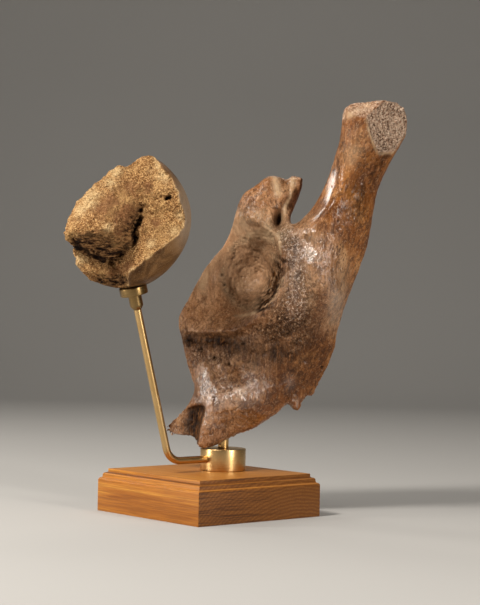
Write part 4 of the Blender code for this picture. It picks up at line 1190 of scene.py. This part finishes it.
def bone_zones(places, normals):
    """The share of each kind of surface, and of painted shade and light, at each point, from 0 to
    1.
    """
    across, deep, high = places.T
    place = across, high
    curve = closed_curve(BONE_OUTLINE, 1.0)
    nearest, to_edge = nearest_on_loop(curve[:, :2], *place)
    to_rim = depth_inside(SOCKET_LOOP, *place)
    in_front = ease(0.75 - 1.6 * normals[:, 1])
    ragged = flat_lumps(*place, 9, 71)
    ragged_place = across + ragged, high
    patchy = ease(0.5 + 0.9 * lumps(places, 13, 77, 3))
    in_patches = 0.4 + 0.6 * patchy

    # The breaks: the bar's end with its facet and border, the ilium's end, the thin edges.
    facet = bar_facet(*place)
    in_front_half = ease((-40 - deep) / 6)
    on_facet = 0.45 * facet * ease(1.4 - np.abs(deep - plane_depth(BAR_FACET, *place)) / 1.8)
    broken = np.maximum(in_bar_break(*place) * (1 - facet) * in_front_half,
                        on_facet * ease((high - 424) / 8))
    on_bar_end = 0.6 * ease((high - 488 + 2 * ragged) / 3)
    border = bell(depth_inside(BAR_BREAK_LOOP, *place) + 1.2, 1.6) * (1 - facet) * in_front_half
    in_ilium_break = zone(ILIUM_BREAK_LOOP, 3, *place)
    in_ilium_break = in_ilium_break * ease((-normals[:, 1] - normals[:, 0] - 0.2) * 3 + 0.5)
    thin_edge = (curve[nearest, 3] < 6.5) & (high > 60) & ((high < 160) | (high > 398))
    on_thin_edge = np.where(thin_edge, 0.7 * ease((2.2 + ragged - to_edge) / 1.6), 0)

    # The socket: the fossa, the smooth disc on its floor, and the pored ground round it.
    in_socket = ease(to_rim / 4) * ease(-normals[:, 1] * 2 + 0.6)
    in_fossa = ease((1 - oval(*FOSSA_CENTRE, *FOSSA_RADII, *place)) / 0.25) * in_socket
    disc = disc_share(*place)
    on_disc = ease((1 - disc) / 0.14 + 0.5) * in_socket
    round_fossa = bell(disc - 1.28, 0.18) * in_socket
    right_rim = bell(to_rim - 6, 7) * in_socket * ease((across - 58) / 12)
    pores = zone(PORED_LOOP, 26, *place) * ease(-to_rim / 4 + 0.6)
    pores = most([pores * (0.45 + 0.55 * patchy), 0.15 * in_fossa,
                  0.5 * round_fossa * in_patches, 0.6 * right_rim])

    # Painted shade and dark marks, then the shine of the varnish.
    shade = most([share * spot(x, y, wide, tall, *place) for x, y, wide, tall, share in SHADES])
    shade = shade * ease(0.6 - to_rim / 2) * (0.7 + 0.3 * patchy)
    crease_shade = streak(CREASE_SHADE_PATH, 3.2, across + 1.5 * ragged, high) * in_socket
    crease_shade = crease_shade * (0.6 + 0.4 * patchy)
    # Painted shade along grooves and walls, and dark fissures.
    streaks = most([share * streak(path, width, *ragged_place)
                    for width, share, path in SHADE_AND_FISSURE_PATHS])
    streaks = streaks * ease(0.7 + 0.8 * lumps(places, 5, 79, 2))
    # Painted shade in the deep hollow beside the pubis.
    hollow_shade = spot(*HOLLOW_CENTRE, 6, 11, across + 2, high)
    # The single deep pits, darkened with painted shade.
    pits = sum(spot(x, y, 1.1 * r, 1.1 * r, *place) for x, y, r, _ in BONE_PITS)
    # Painted shade in the shallow groove round the smooth disc.
    disc_groove_shade = bell(disc - 1, 0.05) * in_socket * (0.15 + 0.35 * patchy)
    # All the dark marks together: painted shade and dark fissures.
    shade_and_stain = most([shade, 0.75 * crease_shade, 0.6 * hollow_shade, streaks, disc_groove_shade,
                  0.8 * np.minimum(pits, 1)])
    shine = sum(spot(*row, *place) for row in SHINE) + 0.95 * streak(SHINE_STREAK, 5, *place)
    dull = streak(DULL_STREAK, 4, *place)
    below_end = 1 - 0.4 * ease((high - 0.9 * across - 256) / 30) * ease((high - 350) / 20)
    return {
        "sponge": most([broken, on_bar_end, on_thin_edge, 0.2 * in_ilium_break]),
        "pores": pores * in_front * (1 - 0.7 * shade),
        # Painted shade and stains; the ilium's break is darkened too, more so towards its right.
        "shade_and_stain": np.maximum(shade_and_stain * in_front, in_ilium_break * (0.22 + 0.2 * patchy
                                                                + 0.4 * ease((across + 40) / 24))),
        "warm": most([ease((across + 0.6 * high - 308) / 60) * below_end,
                      0.7 * ease((high - 350) / 40) * ease((across - 60) / 50) * below_end,
                      0.3 * ease((high - 350) / 40), 0.9 * zone(GOLDEN_LOOP, 14, *ragged_place),
                      0.85 * zone(RUSSET_LOOP, 24, across + 3 * ragged, high),
                      0.8 * in_ilium_break]),
        # Painted light on crests, edges and dim areas, with the disc, the fossa's rim and the
        # break's border truly pale.
        "pale_and_painted_light": most([share * streak(path, width, *place) for width, share, path in LIGHT_AND_PALE_PATHS]
                     + [0.2 * on_disc, 0.5 * round_fossa, border]) * in_front * in_patches,
        "splinter": in_ilium_break,
        "polish": streak(SHINE_STREAK, 13, *place),
        "painted_glints": streak(PAINTED_GLINT_PATH, 10, *ragged_place) * in_front * ease(0.6 - to_rim / 3),
        "smooth": in_socket * (0.35 + 0.65 * ease((high + 0.6 * across - 235) / 70)),
        "gloss": (1 - 0.85 * in_socket) * (1 - broken) * (1 - in_ilium_break) * (1 - shade)
        * (0.10 + 0.90 * np.minimum(shine, 1)) * (1 - 0.8 * ease((high - 410) / 16))
        * (1 - np.minimum(1.5 * streaks, 1)) * (1 - 0.9 * dull),
    }


# %% Pelvis: fine relief
PORE_COUNT = 4200
SPONGE_CELLS = 1700
FISSURE_COUNT = 420


def dent_fissures(places, centres, rng):
    """Cut short slanting fissures round the given centres."""
    depth = np.zeros(len(places))
    for centre in centres:
        angle = rng.normal(0.25, 0.4)
        length, width = rng.uniform(2.5, 6.5), rng.uniform(0.9, 1.5)
        near = np.flatnonzero((np.abs(places - centre) < 2.2 * length).all(axis=1))
        offset = places[near] - centre
        along = offset[:, 0] * math.cos(angle) + offset[:, 2] * math.sin(angle)
        side = offset[:, 2] * math.cos(angle) - offset[:, 0] * math.sin(angle)
        cut = rng.uniform(1.0, 2.4) * np.exp(-(along / length) ** 2 - (side / width) ** 2)
        depth[near] = np.maximum(depth[near], cut)
    return depth


def bone_relief(places, zones):
    """Height to add along each normal, in millimetres."""
    rng = np.random.default_rng(7)
    sponge, pores, smooth, polish = (zones[name] for name in
                                     ("sponge", "pores", "smooth", "polish"))
    across, deep, high = places.T
    height = (0.5 * lumps(places, 16, 101, 2) + 0.24 * lumps(places, 5.5, 103, 2)) * (1 - sponge)
    height *= 1 - 0.8 * polish
    sinews = np.column_stack([across - 0.35 * high, deep, 0.22 * high + 0.08 * across])
    height += 0.42 * lumps(sinews, 4.2, 127, 2) * (1 - sponge) * (1 - 0.7 * zones["warm"]) \
        * (1 - polish)
    height += 0.55 * pores * lumps(places, 3.6, 107, 2)
    disc = disc_share(across, high)
    height *= 1 - 0.8 * smooth * ease((1.02 - disc) / 0.12 + 0.5)
    height += smooth * (0.6 * ease(1.6 - 1.2 * disc) - 0.5 * bell(disc - 1, 0.06))
    splinters = np.column_stack([0.28 * across - 0.2 * high, deep, high - 0.9 * across])
    height += 0.9 * zones["splinter"] * lumps(splinters, 2.6, 137, 2)
    pits = pick_places(rng, places, (pores ** 1.5 + 0.012) * (1 - 0.95 * polish), PORE_COUNT)
    radii = rng.uniform(1.1, 2.0, PORE_COUNT)
    height -= dent_pores(places, pits, radii, radii * rng.uniform(0.4, 0.85, PORE_COUNT))
    cuts = dent_fissures(places, pick_places(rng, places, pores ** 2 + 1e-5, FISSURE_COUNT), rng)
    height -= pores * (1 - np.minimum(1.8 * smooth, 1)) * cuts
    cells = pick_places(rng, places, sponge + 1e-5, SPONGE_CELLS)
    radii = rng.uniform(1.4, 2.8, SPONGE_CELLS)
    height -= sponge * dent_pores(places, cells, radii, radii * 0.8)
    height += sponge * 0.8 * lumps(places, 5, 131, 2)
    for x, y, radius, depth in BONE_PITS:
        height -= depth * spot(x, y, radius, radius, across, high) * (deep < 55)
    return height


places, normals = read_points(bone.data)
bone_shares = bone_zones(places, normals)
move_points(bone.data, places + normals * bone_relief(places, bone_shares)[:, None])
bone.data.transform(FOSSIL_TO_WORLD)

# %% [markdown]
# ### Varnished fossil bone
#
# Three browns drift into each other over the smooth skin, with a warmer one on the bar. The pored
# zone is greyer and speckled, and the breaks are bare and tan. Painted shade darkens the groove
# below the lip, the hollows and the valleys of the fine crinkle, painted light brightens crests
# that face the lamps, and white flecks beside the socket are painted glints. The varnish is a
# coat: it breaks into sparkles, because the bone under it is lumpy.


# %% Bone material
def bone_material():
    """Chestnut bone under varnish, with pored, spongy and stained zones, painted shade and painted
    light.
    """
    r = Recipe("varnished_bone", coat_roughness=0.16, coat_ior=2.1, specular_ior_level=0.07)
    sponge, pores, shade_and_stain, warm, pale_and_painted_light, smooth, gloss, polish, painted_glints = map(r.attribute, (
        "sponge", "pores", "shade_and_stain", "warm", "pale_and_painted_light", "smooth", "gloss", "polish", "painted_glints"))
    along_bar = (0, -0.33, -0.85)
    cloud = r.noise(20, 5, 0.62, 0.8)
    mottle = r.noise(90, 5, 0.68, 0.4)
    grain = r.noise(430, 4, 0.75)
    fibre = r.noise(330, 4, 0.62, 0.3, r.stretched((1, 1, 0.13), along_bar))
    crinkle = r.noise(185, 2, 0.6, 1, r.stretched((1, 1, 0.6)))
    flecks = r.noise(380, 4, 0.75, 0.4, r.stretched((1, 1, 0.7)))
    wander = r.noise(95, 4, 0.62, 1.4, r.stretched((1, 1, 0.5), along_bar))

    def outside(share):
        """One on rough bone, the given share on the smooth floor of the socket."""
        return r.window(smooth, 0, 1, 1, share)

    skin = r.coats(r.ramp(cloud, (0.30, (0.13, 0.045, 0.013)), (0.46, (0.25, 0.108, 0.042)),
                          (0.58, (0.35, 0.180, 0.088)), (0.72, (0.47, 0.285, 0.165))),
                   (r.window(fibre, 0.52, 0.68, 0, 0.5), (0.50, 0.30, 0.16)),
                   (r.window(fibre, 0.47, 0.33, 0, 0.6), (0.085, 0.030, 0.008)))
    orange = r.coats(r.ramp(cloud, (0.30, (0.10, 0.028, 0.005)), (0.46, (0.20, 0.065, 0.013)),
                            (0.58, (0.33, 0.130, 0.034)), (0.70, (0.48, 0.25, 0.100))),
                     (r.window(fibre, 0.52, 0.68, 0, 0.3), (0.52, 0.25, 0.085)),
                     (r.window(fibre, 0.47, 0.33, 0, 0.45), (0.085, 0.022, 0.003)))
    pored = r.ramp(flecks, (0.41, (0.020, 0.007, 0.002)), (0.49, (0.110, 0.046, 0.016)),
                   (0.55, (0.23, 0.115, 0.052)), (0.64, (0.56, 0.38, 0.24)))
    crack = r.ramp(wander, (0.47, (0, 0, 0)), (0.495, (1, 1, 1)), (0.505, (1, 1, 1)),
                   (0.53, (0, 0, 0)))
    crack = r.times(crack, r.window(pores, 0.40, 0.80))
    speckled = outside(0.45)
    skin = r.coats(
        skin, (warm, orange),
        (r.times(r.window(mottle, 0.50, 0.36, 0, 0.75), outside(0.35)), (0.085, 0.034, 0.014)),
        (r.times(smooth, 0.25), (0.42, 0.27, 0.165)),
        # Painted shade in the valleys of the crinkle relief that the bump also uses.
        (r.times(r.window(crinkle, 0.49, 0.38, 0, 0.75), outside(0.3)), (0.075, 0.027, 0.009)),
        (r.times(r.window(grain, 0.46, 0.38, 0, 0.4), speckled), (0.065, 0.022, 0.007)),
        (r.times(r.window(grain, 0.56, 0.64, 0, 0.4), speckled), (0.60, 0.38, 0.22)),
        (r.times(pores, 0.9), pored),
        # Painted glints: white flecks.
        (r.times(painted_glints, r.window(flecks, 0.53, 0.58)), (0.56, 0.42, 0.32)),
        (crack, (0.050, 0.022, 0.010)),
        # Painted light, and the bone's own pale bands.
        (r.times(pale_and_painted_light, 0.65), (0.60, 0.43, 0.26)))

    wall = r.window(r.noise(290, 2, 0.6, 2.2, r.stretched((1, 1, 0.75))), 0.40, 0.46)
    bare = r.ramp(grain, (0.38, (0.28, 0.150, 0.090)), (0.47, (0.54, 0.355, 0.240)),
                  (0.60, (0.84, 0.635, 0.48)))
    # Near-black browns for painted shade and for stains.
    shade_and_dirt = r.ramp(fibre, (0.42, (0.006, 0.002, 0.0004)), (0.54, (0.024, 0.008, 0.0015)),
                  (0.68, (0.13, 0.050, 0.013)))
    colour = r.coats(skin, (sponge, r.mix(wall, (0.14, 0.070, 0.040), bare)),
                     (r.window(shade_and_stain, 0, 0.75), shade_and_dirt))

    open_cells = r.window(r.cells(430, r.stretched((1, 1, 1.25))), 0.1, 0.5)
    rough_zone = r.math("MAXIMUM", sponge, r.times(pores, 0.75))
    fine = r.bump(r.math("ADD", r.times(crinkle, 0.5), r.times(fibre, 0.25)), 0.0046,
                  r.times(r.window(warm, 0.2, 1, 0.85, 0.3),
                          r.window(r.math("MAXIMUM", polish, smooth), 0.1, 0.8, 1, 0.2)))
    crust = r.bump(r.math("SUBTRACT", grain, crack), 0.0030, rough_zone, fine)
    normal = r.bump(open_cells, 0.0008, rough_zone, crust)
    return r.finish(
        base_color=colour, normal=r.bump(wall, 0.0016, sponge, normal), coat_normal=crust,
        roughness=r.window(r.math("MAXIMUM", rough_zone, shade_and_stain), 0, 1, 0.38, 0.8),
        coat_weight=r.window(r.times(gloss, r.window(pores, 0, 1, 1, 0.6)), 0, 1, 0.02, 1))


finish_fossil(bone, bone_shares, bone_material(), "acetabulum_bone")

# %% [markdown]
# ## The femoral ball
#
# The ball is most of a sphere. Its joint surface, low and on the right, is smooth. The side that
# faces the viewer broke away and left the stump of the neck, which ends in a beak on the left
# with a hollow under it, darkened with painted shade. It is drawn like the pelvis, with a sphere
# as far face, and the broken face cuts into the near half of the same sphere.

# %% Ball: tables
BALL_OUTLINE = table("""
-76 422 -80, -62 416 -80, -50 406 -80, -40 394 -80, -32 380 -80, -27 366 -80, -25 351 -80,
-27 332 -80, -34 314 -80, -45 297 -80, -59 283 -80, -75 273 -80, -94 268.5 -80, -115 269 -80,
-136 275 -82, -148 284 -84, -155 295 -88, -159 306 -92, -160 315 -99, -164 319.5 -110,
-167.5 325 -116, -167 333 -114, -163.5 347 -108, -157 362 -102, -146 377 -96, -131 392 -90,
-117 404 -86, -107 409 -84, -101 409 -82, -91 416 -80, -83 421 -80""")
BALL_CENTRE = (-99, 346, -79)
BALL_RADII = (80.2, 73.5)       # half length and half width of the ball's oval
BALL_LEAN = math.radians(71.3)  # its long axis rises to the right at this angle
BALL_EDGE_ROUND = (4, 15)       # rounding where the outline keeps to the oval, and where it broke
BREAK_LOOP = table("""
-66 415, -49 397, -42 383, -37.5 370, -33 357, -31 345, -34 335, -47 322, -60 311, -77 297.5,
-91 285.5, -95 274, -96 262, -130 262, -175 290, -178 340, -150 390, -100 426, -72 426""")
STUMP_RISE = 14                 # the neck's stump stands this far out of the sphere
# Where the broken face meets the smooth joint surface, from the top to the bottom.
BALL_EDGE = BREAK_LOOP[:12]
# The broken face inside that edge: across, up, depth.
BALL_BREAK = table("""
-61 381 -102, -54 358 -105, -63 340 -110, -74 325 -114, -79 352 -108, -84 393 -98, -99 402 -91,
-107 394 -99, -74 369 -103, -117 380 -112, -130 370 -120, -144 358 -126, -156 342 -130,
-160 331 -134, -147 331 -146, -134 334 -151, -120 338 -149, -106 344 -140, -96 354 -123,
-101 327 -141, -99 318 -130, -114 322 -141, -131 325 -146, -156 318 -112, -148 307 -93,
-132 301 -92, -114 298 -96, -98 302 -110, -148 296 -98, -134 291 -103, -118 287 -106,
-103 286 -104, -115 275 -87, -133 278 -88""")
CREVICE = table("-84 347, -87 340, -91 332, -88 323")
CREVICE_DEPTH = 13
CREVICE_WIDTH = 3.6
RAVINE = table("-83 360, -85 348, -88 334, -90 322, -97 313, -104 306")
RAVINE_DEPTH = 6.5
RAVINE_WIDTH = 8
BALL_HOLES = table("-50 372.5 9 2.6, -53 372 8 2.2, -83 359 10 3, -104 307 10 4.5")


# %% Ball: its two faces
def ball_share(across, high):
    """Distance from the ball's centre, one on its oval."""
    side, rise = across - BALL_CENTRE[0], high - BALL_CENTRE[1]
    along = side * math.cos(BALL_LEAN) + rise * math.sin(BALL_LEAN)
    beside = rise * math.cos(BALL_LEAN) - side * math.sin(BALL_LEAN)
    return np.hypot(along / BALL_RADII[0], beside / BALL_RADII[1])


def ball_bulge(across, high):
    """Half thickness of the ball at a place in the drawing."""
    return BALL_RADII[1] * np.sqrt(np.maximum(1 - ball_share(across, high) ** 2, 0))


def ball_break_depth(*place):
    """Depth of the broken face with its crevice and holes."""
    edge = [(x, y, BALL_CENTRE[2] - float(ball_bulge(x, y))) for x, y in BALL_EDGE]
    depth = thin_plate(edge + BALL_BREAK)(*place) + 2.0 * flat_lumps(*place, 14, 53)
    depth += RAVINE_DEPTH * streak(RAVINE, RAVINE_WIDTH, *place)
    width = CREVICE_WIDTH + 1.5 * flat_lumps(*place, 6, 59)
    depth += CREVICE_DEPTH * streak(CREVICE, width, *place)
    for x, y, hole_depth, radius in BALL_HOLES:
        depth += hole_depth * spot(x, y, radius, radius, *place)
    return depth


def ball_faces(across, high, distance, edge_depth, _reach):
    """Near and far face of the ball."""
    missing = BALL_RADII[1] * (1 - ball_share(across, high)) - distance
    shoulder = rim_lift(distance, np.clip(missing, *BALL_EDGE_ROUND))
    bulge = ball_bulge(across, high) * shoulder
    rest = blend(edge_depth, BALL_CENTRE[2], ease(distance / 30))
    near = rest - bulge
    stump = blend(edge_depth, ball_break_depth(across, high), rim_lift(distance, 12))
    broken = zone(BREAK_LOOP, 3, across + 1.5 * flat_lumps(across, high, 7, 61), high)
    return blend(near, np.maximum(stump, near - STUMP_RISE), broken), rest + bulge


# %% Ball: skin and marks
BALL_SPACING = 1.2
BALL_VOXEL = 1.05
BALL_PORES = 2600
ball = even_skin("femoral_head", relief_mesh("ball_form", BALL_OUTLINE, ball_faces,
                                             BALL_SPACING, BALL_RADII[1] / 2), BALL_VOXEL)

# Painted shade, with some stain, under the neck: its outline, then shade beside the crevice, a low
# dark band and the shadow under the beak.
UNDER_NECK_SHADE_LOOP = table("""
-164 320, -155 325, -147 329, -137 331, -125 333, -112 331, -104 323, -101 312, -105 302,
-116 297, -128 300, -141 305, -151 310, -162 312""")
SHADE_BESIDE_CREVICE = table("-85 356, -89 346, -94 334, -95 320, -102 308")
LOW_BAND = table("-128 276, -112 275, -99 277")
SHADOW_UNDER_BEAK = table("-156 317, -146 310, -134 303, -124 301")
CREAM_SPOTS = table("""
-118 389 6, -137 374 9, -149 354 7, -112 402 7, -43 333 6, -56 398 9, -153 300 7, -141 363 7,
-62 411 6, -37 352 5, -70 318 5, -116 336 5""")
# Reddish brown spots, some of them painted shade on the right of the neck's stump.
RED_AND_SHADE_SPOTS = table("""
-95 383 9, -64 343 6, -126 357 11, -112 366 9, -74 386 6, -97 346 11, -93 357 9, -100 330 9,
-113 284 9, -96 293 8""")


# %% Ball: the zones
def spots(places, rows):
    """Soft round spots at chosen places, with ragged borders."""
    across, _, high = places.T
    ragged = 1 + 0.35 * lumps(places, 6, 211, 3)
    return np.minimum(1, sum(bell(np.hypot(across - x, high - y) * ragged, radius)
                             for x, y, radius in rows))


def ball_zones(places):
    """The share of each kind of surface, and of painted shade and light, at each point of the
    ball, from 0 to 1.
    """
    across, deep, high = places.T
    to_break = depth_inside(BREAK_LOOP, across + 1.5 * flat_lumps(across, high, 7, 61), high)
    broken = ease(to_break / 2 + 0.5 + 0.5 * lumps(places, 4, 213, 2))
    broken = broken * ease((5 * lumps(places, 9, 221, 3) - 79 - deep) / 3)
    ragged = 2.5 * lumps(places, 7, 217, 2)
    # Painted shade under the neck, darker at the bottom and lighter on one lump.
    under_neck_shade = zone(UNDER_NECK_SHADE_LOOP, 6, across + ragged, high + ragged)
    under_neck_shade *= 0.6 + 0.4 * ease((326 - high) / 10)
    under_neck_shade *= 1 - 0.5 * spot(-109, 317, 6, 6, across, high)
    # Painted shade, with some stain: under the neck, in and beside the crevice, along a low band,
    # under the beak and in the holes.
    dark_shade_and_stain = most([0.72 * under_neck_shade, streak(CREVICE, 3.6, across + 0.6 * ragged, high),
                 0.5 * streak(SHADE_BESIDE_CREVICE, 7, across + ragged, high),
                 0.8 * streak(LOW_BAND, 5.5, across, high + ragged),
                 streak(SHADOW_UNDER_BEAK, 4.5, across, high + 0.6 * ragged),
                 sum(spot(x, y, 0.9 * w, 0.9 * w, across, high) for x, y, _, w in BALL_HOLES)])
    return {"broken": broken, "dark_shade_and_stain": np.clip(dark_shade_and_stain, 0, 1) * broken,
            "cream": np.maximum(spots(places, CREAM_SPOTS) * broken,
                                0.8 * bell(to_break, 2.5) * ease(0.6 + lumps(places, 7, 219, 2))),
            "red_and_shade": spots(places, RED_AND_SHADE_SPOTS) * broken,
            # Painted reflection on the right edge of the joint surface, and paler towards the
            # back.
            "pale_and_painted_light": np.maximum(ease((across + 50) / 22), ease((deep + 70) / 40))
            * (1 - broken) * ease((high - 290) / 50)}


# %% Ball: fine relief and seat
def ball_relief(places, zones):
    """Height to add along each normal, in millimetres."""
    rng = np.random.default_rng(19)
    broken = zones["broken"]
    height = 0.15 * lumps(places, 12, 151, 3)
    height += broken * (1.2 * lumps(places, 11, 157, 2) + 1.25 * lumps(places, 4.4, 161, 2, 0.7))
    pits = pick_places(rng, places, broken * (0.3 + 0.7 * ease(lumps(places, 16, 171, 2) + 0.4))
                       + 1e-4, BALL_PORES)
    radii = rng.uniform(0.9, 2.2, BALL_PORES)
    height -= broken * dent_pores(places, pits, radii, radii * rng.uniform(0.4, 0.9, BALL_PORES))
    across, deep, high = places.T
    fibres = np.column_stack([0.18 * across + 0.06 * high, 0.7 * deep, 0.75 * high - 0.1 * across])
    return height + zones["dark_shade_and_stain"] * 2.2 * lumps(fibres, 1.9, 173, 2)


def file_seat(mesh):
    """File the ball's underside flat where it rests on the cup."""
    into_cup, out = np.array(CUP_PLACE.inverted()), np.array(CUP_PLACE)
    local = read_points(mesh)[0] @ into_cup[:3, :3].T + into_cup[:3, 3]
    seat = cup_top + GAP
    low = (np.hypot(local[:, 0], local[:, 1]) < CUP_RADIUS + 0.001) & (local[:, 2] < seat)
    local[low, 2] = seat
    move_points(mesh, local @ out[:3, :3].T + out[:3, 3])
    print("ball", len(mesh.polygons), "faces,", int(low.sum()), "points filed for the seat")


places, normals = read_points(ball.data)
ball_shares = ball_zones(places)
move_points(ball.data, places + normals * ball_relief(places, ball_shares)[:, None])
ball.data.transform(FOSSIL_TO_WORLD)
file_seat(ball.data)

# %% [markdown]
# ### Dry ochre bone
#
# The broken face has never been varnished. It is a crust of ochre grains with cream patches and
# dark pits, so its colour comes from three noises of different size, and the relief is strong.
# The joint surface is smooth, olive brown and slightly waxed; a painted reflection makes it paler
# towards the right, and it is paler towards the back as well.


# %% Ball material
def ball_material():
    """Granular ochre break with painted shade under the neck, and smooth tan joint surface with a
    painted reflection.
    """
    r = Recipe("ochre_bone", specular_ior_level=0.15)
    broken, dark_shade_and_stain, cream, red_and_shade, pale_and_painted_light = map(r.attribute, ("broken", "dark_shade_and_stain", "cream", "red_and_shade", "pale_and_painted_light"))
    cloud = r.noise(30, 5, 0.65, 0.7)
    grains = r.noise(640, 4, 0.75)
    clots = r.noise(150, 5, 0.75, 0.4)
    pits = r.window(r.cells(360), 0.06, 0.26)
    crust = r.ramp(grains, (0.39, (0.060, 0.022, 0.006)), (0.46, (0.23, 0.105, 0.033)),
                   (0.53, (0.43, 0.225, 0.082)), (0.61, (0.74, 0.48, 0.22)))
    creamy = r.ramp(grains, (0.36, (0.32, 0.18, 0.07)), (0.5, (0.62, 0.42, 0.20)),
                    (0.66, (0.80, 0.63, 0.37)))
    crust = r.coats(crust, (r.window(clots, 0.52, 0.38, 0, 0.8), (0.14, 0.056, 0.017)),
                    (r.times(r.window(cloud, 0.50, 0.66), 0.5), (0.60, 0.37, 0.15)),
                    (r.times(red_and_shade, 0.7), (0.20, 0.085, 0.036)), (r.times(cream, 0.8), creamy),
                    (r.window(pits, 0, 1, 0.8, 0), (0.085, 0.034, 0.012)))
    joint = r.ramp(cloud, (0.38, (0.045, 0.018, 0.005)), (0.5, (0.095, 0.042, 0.012)),
                   (0.62, (0.19, 0.095, 0.034)))
    # Painted reflection: the joint surface paler towards the right, and towards the back.
    joint = r.coats(joint, (r.times(pale_and_painted_light, 0.7), (0.36, 0.27, 0.19)),
                    (r.window(clots, 0.54, 0.70, 0, 0.55), (0.095, 0.045, 0.018)),
                    (r.window(grains, 0.50, 0.34, 0, 0.35), (0.34, 0.24, 0.14)))
    streaks = r.noise(260, 4, 0.7, 0.4, r.stretched((0.3, 0.3, 1), (0, 0.25, -0.85)))
    shade_and_dirt = r.ramp(streaks, (0.42, (0.008, 0.003, 0.001)), (0.50, (0.070, 0.028, 0.009)),
                  (0.60, (0.36, 0.19, 0.075)))
    # Painted shade with some stain, black at its deepest.
    colour = r.coats(joint, (broken, crust), (r.window(dark_shade_and_stain, 0.05, 0.60), shade_and_dirt),
                     (r.window(dark_shade_and_stain, 0.70, 1, 0, 0.85), (0.008, 0.003, 0.001)))
    relief = r.math("ADD", r.times(grains, 0.5), r.times(pits, 0.4))
    return r.finish(base_color=colour, roughness=r.window(broken, 0, 1, 0.45, 0.88),
                    normal=r.bump(relief, 0.0034, r.window(broken, 0, 1, 0.2, 1)))


finish_fossil(ball, ball_shares, ball_material(), "femoral_ball")
